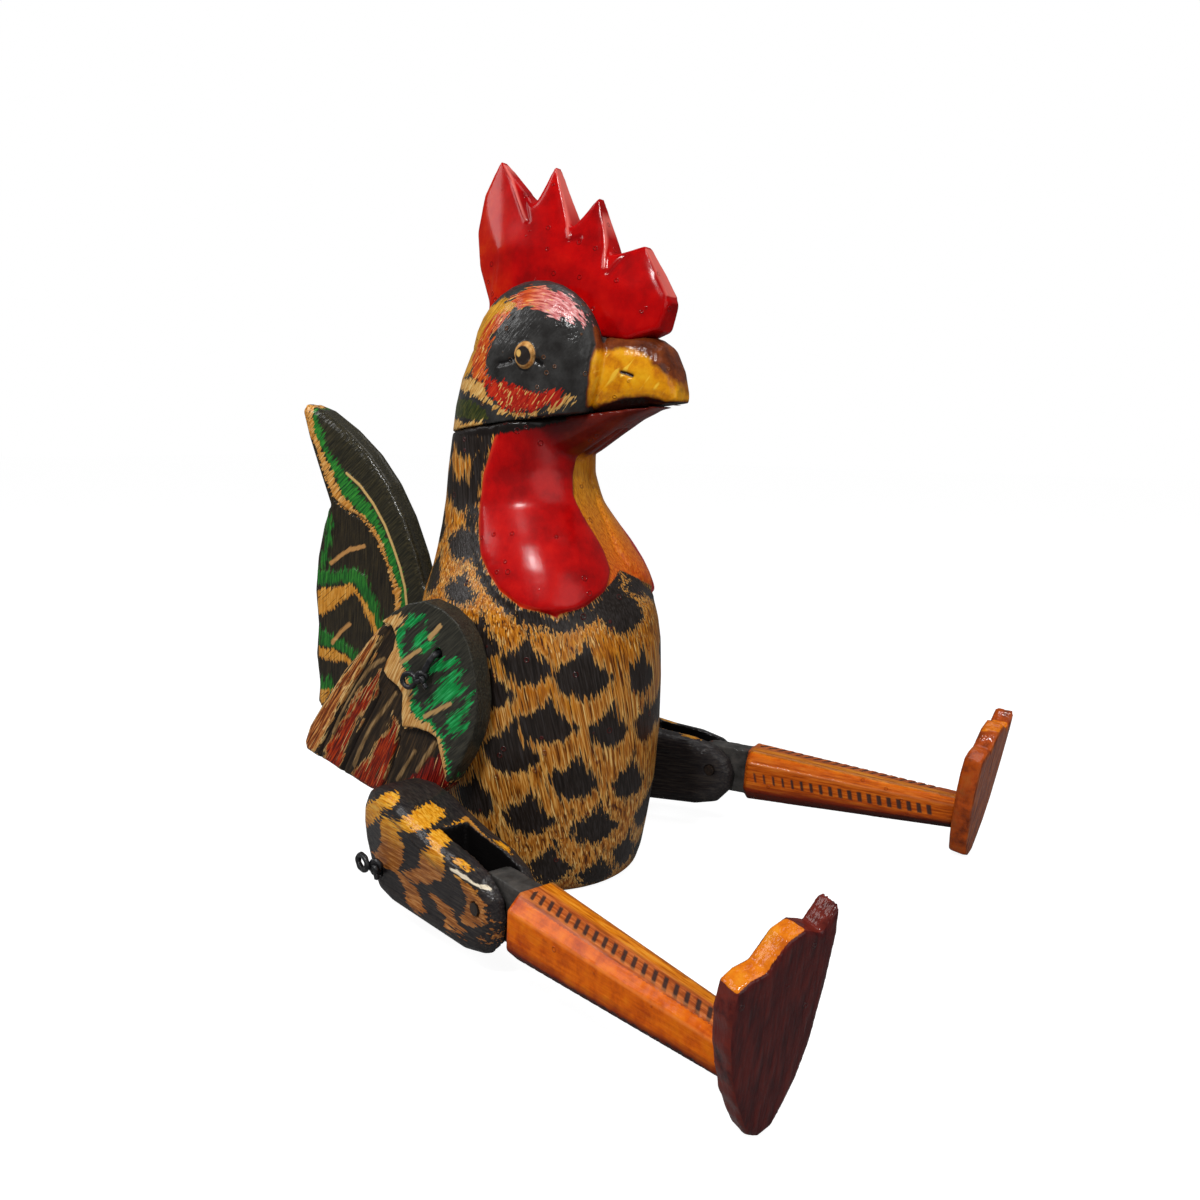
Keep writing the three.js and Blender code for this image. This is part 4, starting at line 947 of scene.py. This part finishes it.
def wing_paint():
    paint = Paint("wing_paint")
    paint.base = paint.strokes("1e1610 2e241a 483622")
    hair = paint.hair(0.8, 0.1)
    slant = paint.hair(1.0, 0.08, "slant")
    gold = paint.strokes("aa6c32 d49e58 eecc8c")
    rust = paint.strokes("3e2210 8c4016 d48c46", 1.7)
    crimson = paint.strokes("341008 801c06 c6420c", 1.4)
    dark_red = paint.strokes("2c100c 6e120e a82e1e", 1.8)
    paint.layer("first", gold, 2.2, hair, 0.3)
    paint.layer(paint.mask("first", -1.8), rust, 2.6, hair, 0.4)
    paint.layer("reds", gold, 2.6, hair, 0.3, 0.7)
    paint.layer(paint.mask("reds", -1.0), crimson, 2.8, hair, 0.6)
    paint.layer("low", dark_red, 2.4, hair, 0.6)
    feathers = paint.math("MAXIMUM", paint.mask("first"), paint.math(
        "MAXIMUM", paint.mask("reds"), paint.mask("low")))
    paint.fine_hairs("e2b878", 2.2, 0.05, 0.66, 0.71, within=feathers)
    paint.layer("quills", paint.strokes("5a4428 866842 b08e60"), 0.4, hair, 0.35, 0.9)
    # painted shade in the carved grooves between the feathers
    paint.layer(paint.mask("grooves", 0.7), "160e0a", soft=0.5)
    top = paint.strokes("22221e 32312a 424036", name="slant")
    paint.layer("shoulder", top, soft=0.3)
    green = paint.strokes("085c2c 0e9242 3cbe6e", 1.3, 0.08, "slant")
    paint.layer("greens", green, 3.2, slant, 0.35)
    paint.layer("gold", gold, 2.0, slant, 0.3)
    paint.layer("dashes", "be9660", 0.6, slant, 0.3)
    paint.relief(hair, 0.07)
    paint.waves(0.09, 0.5)
    return paint.varnish(0.5, 0.4, 0.2)


for name, side in SIDES:
    make_wing(name, side)


# Legs: each has its own frame at a joint, out from the body, forward and up
def measured(points, origin, *ways):
    """How far points are from an origin along each of some ways."""
    return columns(*((points - origin) @ way for way in ways))


def joint_named(name):
    return next(joint for joint in frame["joints"] if joint["name"] == name)


KNEE_IN_THIGH = (67.0, 8.0)  # forward of the hip and above it


def leg_frame(name, side):
    hip = np.array(joint_named("hip_%s_swing" % name)["pos_m"]) * MM
    knee = np.array(joint_named("knee_%s_bend" % name)["pos_m"]) * MM
    axis = np.array(joint_named("hip_%s_swing" % name)["axis"])
    ahead = np.array([axis[1], -axis[0], 0.0])
    reach = knee - hip
    pitch = math.atan2(reach[2], reach @ ahead) - math.atan2(KNEE_IN_THIGH[1], KNEE_IN_THIGH[0])
    forward = ahead * math.cos(pitch) + np.array([0, 0, math.sin(pitch)])
    up = np.array([0, 0, math.cos(pitch)]) - ahead * math.sin(pitch)
    return hip, knee, axis * side, forward, up


# forward of the hip, then degrees round the thigh from its outer face over the top
THIGH_PATCHES = [
    [(-13, 51), (-4, 56), (1, 66), (3, 71), (8, 69), (10, 63), (10, 55), (6, 50), (3, 47),
     (-7, 32), (-14, 14), (-22, 15), (-26, 30), (-22, 45)],
    [(6, 46), (16, 49), (20, 58), (16, 81), (17, 91), (23, 97), (26, 93), (30, 72), (32, 57),
     (27, 46), (15, 38), (12, 39), (6, 40)],
    [(2, 43), (6, 46), (15, 35), (19, 25), (18, -4), (15, -22), (27, -30), (32, -40), (35, -48),
     (35, -52), (27, -55), (21, -48), (18, -41), (14, -30), (4, -33), (-1, -29), (-9, -26),
     (-3, -11), (1, 12), (0, 33)],
    [(32, 57), (34, 68), (33, 86), (31, 104), (34, 114), (40, 115), (44, 100), (40, 90), (44, 58),
     (45, 46), (49, 34), (50, 21), (44, 0), (37, -17), (27, -28), (15, -24), (29, 2), (30, 26),
     (38, 41)],
    [(56, 27), (64, 23), (70, 15), (73, 1), (74, -21), (72, -32), (66, -40), (59, -43), (58, -37),
     (61, -20), (61, 4)],
    [(34, -29), (43, -26), (53, -34), (56, -41), (62, -47), (62, -49), (55, -49), (48, -51),
     (48, -46), (43, -40), (39, -34)],
    [(68, -45), (73, -46), (75, -62), (72, -52)],
    [(75, -32), (79, -57), (78, -65), (75, -47)],
    [(51, 42), (55, 47), (63, 47), (61, 38), (56, 37)],
    [(49, 121), (52, 128), (61, 129), (60, 122), (54, 116)],
    [(73, -15), (76, -21), (78, -32), (76, -28)],
    [(-12, -60), (2, -62), (12, -74), (4, -92), (-10, -84)],
    [(24, -74), (38, -66), (50, -76), (40, -96), (26, -90)]]
THIGH_WORN = [(52, 31), (57, 34), (66, 29), (72, 35), (73, 28), (68, 25), (61, 27), (53, 28)]
TURN_SCALE = 0.4  # mm along the skin for a degree round it
THIGH_MIDDLE = 11.0  # its heart above the hip
SLOT_REAR = KNEE_IN_THIGH[0] - 33.0
SLOT_HALF = 6.0
LINE_TURN, LINE_HALF, LINE_FROM = 112, 5, 30  # a line of paint on the inner side


def make_thigh(name, side):
    thigh = carved_copy("thigh_" + name, "thigh_" + name, voxel=0.8)
    points = points_of(thigh)
    hip, _, out, forward, up = leg_frame(name, side)
    local = measured(points, hip, out, forward, up)
    turn = np.degrees(np.arctan2(local[:, 2] - THIGH_MIDDLE, local[:, 0]))
    flat = columns(local[:, 1], turn * TURN_SCALE)

    def shape(outline):
        return [(x, degrees * TURN_SCALE) for x, degrees in outline]
    patches = inside(flat, *[shape(outline) for outline in THIGH_PATCHES])
    slot = np.minimum(SLOT_HALF + 0.5 - np.abs(local[:, 0]), local[:, 1] - SLOT_REAR + 0.5)
    keep(thigh, patches=np.where(slot > 0.2, OUTSIDE, patches), slot=slot, turn=turn,
         worn=inside(flat, shape(THIGH_WORN)),
         inner_line=np.where((np.abs(turn - LINE_TURN) < LINE_HALF)
                             & (local[:, 1] > LINE_FROM), 1.0, OUTSIDE),
         stroke=columns(local[:, 0], local[:, 2], local[:, 1]))
    thigh.data.materials.append(shared(thigh_paint))


def thigh_paint():
    paint = Paint("thigh_paint")
    paint.base = paint.strokes("1e1a1c 2a2626 3a3430")
    hair = paint.hair(1.1, 0.1)
    top = paint.strokes("c4740a e2981a f0b846")
    low = paint.strokes("76421a a0602a c4884c")
    tan = paint.blend(paint.ramp(paint.broken("turn", 0.1, 40.0), 12.0, 44.0), low, top)
    paint.layer(paint.mask("patches", -0.5), tan, 2.2, hair, 0.3)
    paint.layer("inner_line", "be8032", 0.6, hair, 0.5)
    # painted shade inside the slot
    paint.layer("slot", "100e0e", soft=0.4)
    paint.layer("worn", "ecdec4", 0.7, hair, 0.3)
    paint.relief(hair, 0.07)
    paint.waves(0.09, 0.7)
    return paint.varnish(0.5, 0.45, 0.14)


def shin_places(points, name, side):
    """Each point's distance forward of the knee along the shin, outward and up."""
    _, knee, out, _, _ = leg_frame(name, side)
    low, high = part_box("foot_dowel_" + name)
    middle = (np.array(low) + np.array(high)) / 2 * MM
    forward = middle - knee
    forward -= out * (forward @ out)
    forward /= np.linalg.norm(forward)
    up = np.cross(out, forward)
    up *= np.sign(up[2])
    return measured(points, knee, forward, out, up)


SHIN_FROM, SHIN_TO = 18.0, 123.0
SHIN_WIDE, SHIN_TALL = (12.6, 8.4), (13.0, 7.8)  # half its section at each end
SHIN_CORNER = 0.58  # where the facets meet, as a share of the half width
TICKS_START, TICKS_FROM, TICKS_TO = 24.0, 22, 112  # painted strokes along the shin
TICK_STEP = 4.75


def ticks(along, across, slant, half_long, thick, thin=1.0):
    """Short slanting strokes in a row, positive inside each."""
    place = (along + slant * across - TICKS_START) / TICK_STEP
    away = np.abs(place - np.round(place)) * TICK_STEP
    width = thick * (thin + (1 - thin) * smooth_step(along, 24, 80))
    row = (along > TICKS_FROM) & (along < TICKS_TO)
    return np.where(row, np.minimum(width - away, half_long - np.abs(across)), -5)


def make_shin(name, side):
    shin = carved_copy("shin_" + name, "shin_" + name, voxel=0.65, rounds=2)
    points = points_of(shin)
    local = shin_places(points, name, side)
    along, out, up = local.T
    share = np.clip((along - SHIN_FROM) / (SHIN_TO - SHIN_FROM), 0, 1)
    wide, tall = (near + (far - near) * share for near, far in (SHIN_WIDE, SHIN_TALL))
    u, v = out / wide, up / tall
    top = v > 0.9
    top_ticks = np.where(top, ticks(along, out - 0.33 * wide, -0.75, 2.9, 0.95), OUTSIDE)
    inner_ticks = np.where(u < -0.9, ticks(along, up - 0.03 * tall, 0.25, 2.4, 1.1, 0.45), OUTSIDE)
    low_ticks = np.where((u > 0.6) & (v < -0.55),
                         ticks(along, (up + 0.8 * tall) * 0.9, 0.5, 2.2, 1.2), OUTSIDE)
    ridges = np.maximum.reduce([-np.hypot((np.abs(u) - SHIN_CORNER) * wide, (v - 1) * tall),
        -np.hypot((np.abs(u) - 1) * wide, (v - SHIN_CORNER) * tall)])
    tongue = SHIN_FROM - along
    keep(shin, top=np.minimum((v - 0.93) * tall * 2, 1.2), top_ticks=top_ticks,
         inner_ticks=inner_ticks, low_ticks=low_ticks, ridges=ridges, tongue=tongue,
         strip=np.where(top, out / wide + 0.12, -1) * 6, low=-(v + 0.42) * tall,
         inner=-(u + 0.75) * wide, along=along, outline=np.where(
             v > 0.5, 0.7 - np.abs(out + 0.56 * wide), -3),
         stroke=columns(out, up, along))
    cut = -0.35 * smooth_step(np.maximum.reduce([top_ticks, inner_ticks, low_ticks]), -0.3, 0.4)
    carve(shin, cut)
    shin.data.materials.append(shared(shin_paint))


def shin_paint():
    paint = Paint("shin_paint")
    paint.base = paint.mottled("b03802 e66602 f68208", 0.12)
    long_grain = paint.strokes("963804 d6680a ec8c1e", 1.0, 0.06)
    paint.base = paint.blend(0.18, paint.base, long_grain)
    inner = paint.strokes("963c0a c45810 da7622", 0.9, 0.07)
    paint.layer("inner", inner, soft=1.0, strength=0.9)
    ragged = paint.noise(paint.flow(0.4, 0.05), detail=3.0)
    low = paint.math("MULTIPLY_ADD", ragged, 5.0, paint.mask("low", -2.5))
    paint.tone(low, "681c10", -2.5, 1.5, 0.95)
    foot = paint.math("MULTIPLY_ADD", paint.mask("along"), 0.05, low)
    paint.tone(foot, "2c0e0a", 5.0, 9.0, 0.9)
    gold = paint.strokes("b05808 d67a12 e6962c", 1.0, 0.07)
    paint.layer("top", gold, soft=0.8)
    rust = paint.strokes("82361a ac4e26 ce703c", 1.0, 0.08)
    paint.layer("strip", rust, soft=0.6, strength=0.85)
    paint.layer("outline", "602c10", 0.5, paint.hair(0.8, 0.2), 0.4, 0.7)
    for row in ("top_ticks", "inner_ticks", "low_ticks"):
        paint.layer(row, "302a2a", soft=0.3, strength=0.92)
    # painted highlight: pale orange along the facet ridges
    paint.tone("ridges", "f09654", -0.9, 0.0, 0.4)
    paint.tone("tongue", paint.mottled("2c2a28 42403e 54504c", 0.15), -0.6, 0.3)
    paint.bubbles("963204", 6.5, 0.85, 0.5, 0.5)
    paint.relief(paint.noise(paint.flow(0.5, 0.05), detail=2.0), 0.25)
    paint.waves(0.12, 0.3)
    return paint.varnish(0.5, 0.2, 0.14)


# outward and up: the tops of the toes, where an orange painted highlight lies
TOE_STEPS = [
    [(20, 22), (20, 31), (10, 37), (8, 33), (14, 24)],
    [(13, 33), (11, 45), (0, 46), (-1, 41), (8, 34)],
    [(2, 41), (1, 48), (-3, 49), (-4, 42), (-1, 40)]]
# shades of the sole, then of the edge and the back; the left foot's set is a lit copy, the right's
# a darker copy that is partly dark stain and partly painted shade
FOOT_TINTS_LIT_AND_SHADED = {"right": ("380c0f 4a1212 5a1a16", "380c0f 6e241a 5a1a16"),
               "left": ("702c0e 964416 b86024", "702c0e ba4e12 b86024")}


def make_foot(name, side):
    foot = carved_copy("foot_" + name, "shin_" + name, voxel=0.6, rounds=2)
    points, normals = points_of(foot), read(foot, "normal")
    local = shin_places(points, name, side)
    facing = shin_places(points + normals, name, side) - local
    rim = 1 - smooth_step(np.abs(facing[:, 0]), 0.35, 0.85)
    steps = inside(local[:, [1, 2]], *TOE_STEPS)
    # painted highlight: orange on the toe steps where the surface faces up
    toes = smooth_step(steps, -0.8, 0.8)
    toes *= rim * smooth_step(facing[:, 2], 0.2, 0.7)
    keep(foot, rim=rim, toes=toes, back=-facing[:, 0],
         stroke=columns(local[:, 1], local[:, 0], local[:, 2]))
    facets = np.sin(local[:, 2] * 0.55 + 1.3) * np.sin(local[:, 1] * 0.45) * rim
    carve(foot, 0.35 * facets)
    foot.data.materials.append(foot_paint(name))


def foot_paint(name):
    paint = Paint("foot_paint_" + name)
    # the right foot's darker colours are partly painted shade, the left's lighter ones painted
    # light
    sole, edge = FOOT_TINTS_LIT_AND_SHADED[name]
    paint.base = paint.strokes(sole, 0.5, 0.06)
    paint.tone("back", paint.strokes(edge, 0.5, 0.06), 0.3, 0.7)
    paint.tone("rim", paint.mottled(edge, 0.12), 0.1, 0.5)
    # the orange on the toe tops is a painted highlight
    orange = paint.mottled("be5406 e47a0a f0961e", 0.16)
    paint.tone(paint.broken("toes", 0.2, 0.7), orange, 0.35, 0.6, 0.95)
    paint.bubbles("3c0e0a", 7.0, 0.8, 0.35, 0.3)
    paint.relief(paint.noise(paint.flow(0.5, 0.06), detail=2.0), 0.4)
    paint.waves(0.12, 0.4)
    return paint.varnish(0.5, 0.45, 0.13)


for name, side in SIDES:
    make_thigh(name, side)
    make_shin(name, side)
    make_foot(name, side)


# Dowels and knee pins
def bare_wood():
    paint = Paint("bare_wood")
    grain = paint.noise(paint.place(0.9, 0.12), 3.0)
    paint.base = paint.shades(grain, (0.35, "966c40"), (0.5, "be9462"), (0.65, "d6b07e"))
    paint.relief(grain, 0.15)
    return paint.varnish(0.6, 0.0, 0.3, 0.3)


def pin_paint():
    paint = Paint("pin_paint")
    paint.base = paint.mottled("1e1a18 302620 463426", 0.3)
    paint.waves(0.4, 0.2)
    return paint.varnish(0.45, 0.5)


def finish_node(node, material):
    mesh = frame["nodes"][node].data
    mesh.materials.clear()
    mesh.materials.append(material)


WOOD, PIN = bare_wood(), pin_paint()
for node in ("neck_dowel", "comb_dowel", "tail_dowel_lower", "tail_dowel_upper",
             "foot_dowel_right", "foot_dowel_left"):
    finish_node(node, WOOD)
for node in ("knee_pin_right", "knee_pin_left"):
    finish_node(node, PIN)


# Cords
CORD_RADIUS = 1.45
CORD_SIDES = 20
STRAND_PITCH = 7.0  # mm along the cord for one full turn of the braid
BRAID_DEPTH = 0.13  # as a share of the radius
KNOT_SIZE = 0.92
KNOT_CORD, LOOP_CORD, TAIL_CORD = 1.2, 1.15, 1.1  # the cord's radius where it is pulled tight
LOOP_RADIUS = 3.3
TAIL_WAY = (4.6, -2.4, 0.6)  # from the knot: aside, back and out


def cord_tube(path, radius, closed=False):
    """A braided round cord along a path: its points and its faces."""
    path = np.asarray(path, float)
    ahead = np.roll(path, -1, 0) - np.roll(path, 1, 0)
    if not closed:
        ahead[0], ahead[-1] = path[1] - path[0], path[-1] - path[-2]
    ahead /= np.linalg.norm(ahead, axis=1)[:, None]
    steps = np.linalg.norm(np.roll(path, -1, 0) - path, axis=1)
    length = np.concatenate([[0], np.cumsum(steps[:-1])])
    whole = length[-1] + steps[-1]
    turns = 2 * math.pi * (round(whole / STRAND_PITCH) if closed else whole / STRAND_PITCH)
    side = np.cross(ahead[0], (0.3, 0.2, 1.0))
    points, rings = [], []
    for place, way, far in zip(path, ahead, length):
        side = side - way * (side @ way)
        side /= np.linalg.norm(side)
        rings.append((place, side.copy(), np.cross(way, side), far))
    twist = 0.0
    if closed:
        last = rings[-1][1] - ahead[0] * (rings[-1][1] @ ahead[0])
        twist = math.atan2(last @ rings[0][2], last @ rings[0][1])
    for k, (place, one, two, far) in enumerate(rings):
        back = twist * k / len(rings)
        for j in range(CORD_SIDES):
            angle = 2 * math.pi * j / CORD_SIDES
            braid = math.cos(2 * angle + turns * far / whole) \
                * math.cos(2 * angle - turns * far / whole)
            out = radius * (1 + BRAID_DEPTH * braid)
            turn = angle - back
            points.append(place + out * (one * math.cos(turn) + two * math.sin(turn)))
    faces = []
    count = len(path)
    for k in range(count if closed else count - 1):
        for j in range(CORD_SIDES):
            a, b = k * CORD_SIDES + j, k * CORD_SIDES + (j + 1) % CORD_SIDES
            c = ((k + 1) % count) * CORD_SIDES
            faces.append((a, b, c + (j + 1) % CORD_SIDES, c + j))
    if not closed:
        for ring, flip in ((0, True), (count - 1, False)):
            points.append(path[ring] + ahead[ring] * (-0.5 if flip else 0.5))
            for j in range(CORD_SIDES):
                a, b = ring * CORD_SIDES + j, ring * CORD_SIDES + (j + 1) % CORD_SIDES
                faces.append((b, a, len(points) - 1) if flip else (a, b, len(points) - 1))
    return points, faces


def smooth_path(corners, count):
    """A rounded line through some corners."""
    corners = np.asarray(corners, float)
    for _ in range(3):
        near = corners[:-1] * 0.75 + corners[1:] * 0.25
        far = corners[:-1] * 0.25 + corners[1:] * 0.75
        middle = columns(near, far).reshape(-1, 3)
        corners = np.concatenate([corners[:1], middle, corners[-1:]])
    steps = np.concatenate([[0], np.cumsum(np.linalg.norm(np.diff(corners, axis=0), axis=1))])
    wanted = np.linspace(0, steps[-1], count)
    return columns(*(np.interp(wanted, steps, corners[:, k]) for k in range(3)))


def knot_path(centre, out, count=72):
    """An overhand knot drawn tight, its flat side against the wood."""
    t = np.linspace(0, 2 * math.pi, count, endpoint=False)
    one = np.cross(out, (0, 0, 1.0))
    one /= np.linalg.norm(one)
    two = np.cross(out, one)
    round_part = 1.7 + np.cos(3 * t)
    return centre + KNOT_SIZE * (one[None] * (round_part * np.cos(2 * t))[:, None]
                                 + two[None] * (round_part * np.sin(2 * t))[:, None]
                                 + out[None] * (1.25 * np.sin(3 * t))[:, None])


def loop_path(centre, out, radius, toward, count=40):
    t = np.linspace(0, 2 * math.pi, count, endpoint=False)
    two = np.cross(out, toward)
    two /= np.linalg.norm(two)
    one = np.cross(two, out)
    return centre + radius * (one[None] * (1.12 * np.cos(t))[:, None]
                              + two[None] * (0.9 * np.sin(t))[:, None])


def make_cord(node, runs):
    points, faces = [], []
    for tube_points, tube_faces in runs:
        start = len(points)
        points += [tuple(p / MM) for p in tube_points]
        faces += [tuple(k + start for k in face) for face in tube_faces]
    mesh = bpy.data.meshes.new("tied_" + node)
    mesh.from_pydata(points, [], faces)
    piece = new_object("tied_" + node, mesh)
    edit_mesh(piece, bpy.ops.mesh.normals_make_consistent, inside=False)
    mesh.shade_smooth()
    mesh.materials.append(shared(cord_finish))
    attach(piece, "body")
    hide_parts(node)


def cord_finish():
    paint = Paint("black_cord")
    paint.base = paint.mottled("0a0a0c 121215 222226", 0.9)
    paint.waves(1.6, 0.12)
    return paint.varnish(0.42, 0.25, 0.25, 0.35)


def tied_end(exit_at, bend, knot, loop, out, lead):
    """One end of a cord: out of the wood, along it to a knot, and a small loop beyond."""
    out, toward = np.asarray(out, float), np.asarray(loop, float) - np.asarray(knot, float)
    out = out / np.linalg.norm(out)
    toward -= out * (toward @ out)
    toward /= np.linalg.norm(toward)
    run = smooth_path([lead, exit_at, bend, knot], 60)
    aside, back, beyond = TAIL_WAY
    tail_end = knot + np.cross(out, toward) * aside + toward * back + out * beyond
    return [cord_tube(run, CORD_RADIUS), cord_tube(knot_path(knot, out), KNOT_CORD, True),
            cord_tube(loop_path(loop, out, LOOP_RADIUS, toward), LOOP_CORD, True),
            cord_tube(smooth_path([knot, (knot + tail_end) / 2, tail_end], 14), TAIL_CORD)]


SHOULDER_HOLE, SHOULDER_DROP, SHOULDER_LOOP = (6.5, 109.0), (5.5, -10.5), (5.8, -1.5)
SHOULDER_HALF, SHOULDER_BEND = 52, (0.6, -0.8)
SHOULDER_OUT = (50.5, 69.3, 71.2, 72.2)  # end inside the body, bend, knot and loop
WING_EDGE = 66.0  # where the shoulder cord leaves the wing
HIP_START, HIP_EDGE, HIP_OUT = 65.0, 13.0, (17.2, 19.3)  # leaves the body and thigh; bend, knot
HIP_HOLE, HIP_TILT = (11.5, 21.0), 5.5 * DEGREE
HIP_DROP, HIP_LOOP = (-4.0, 4.5), (6.1, 0.6)


def make_cords():
    y, z = SHOULDER_HOLE
    ends = [(x, y, z) for x in (-SHOULDER_HALF, 0, SHOULDER_HALF)]
    runs = [cord_tube(smooth_path(ends, 60), CORD_RADIUS)]
    for _, side in SIDES:
        exit_x, bend_x, knot_x, loop_x = (side * x for x in SHOULDER_OUT)
        knot = np.array([knot_x, y + SHOULDER_DROP[0], z + SHOULDER_DROP[1]])
        loop = np.array([loop_x, knot[1] + SHOULDER_LOOP[0], knot[2] + SHOULDER_LOOP[1]])
        bend = np.array([bend_x, y + SHOULDER_BEND[0], z + SHOULDER_BEND[1]])
        runs += tied_end(np.array([side * WING_EDGE, y, z]), bend, knot, loop, (side, 0, 0),
                         np.array([exit_x, y, z]))
    make_cord("shoulder_cord", runs)
    runs, exits = [], []
    for name, side in SIDES:
        hip, _, out, _, _ = leg_frame(name, side)
        leave = np.array([side * HIP_START, HIP_HOLE[0] + side * HIP_START * math.tan(HIP_TILT),
                          HIP_HOLE[1]])
        exits.append(leave)
        bend = hip + out * HIP_OUT[0]
        knot = hip + out * HIP_OUT[1] + np.array([0, *HIP_DROP])
        loop = knot + np.array([side * 1.2, *HIP_LOOP])
        runs += tied_end(hip + out * HIP_EDGE, bend, knot, loop, out, leave)
    runs.append(cord_tube(smooth_path([exits[0], sum(exits) / 2, exits[1]], 80), CORD_RADIUS))
    make_cord("hip_cord", runs)


make_cords()
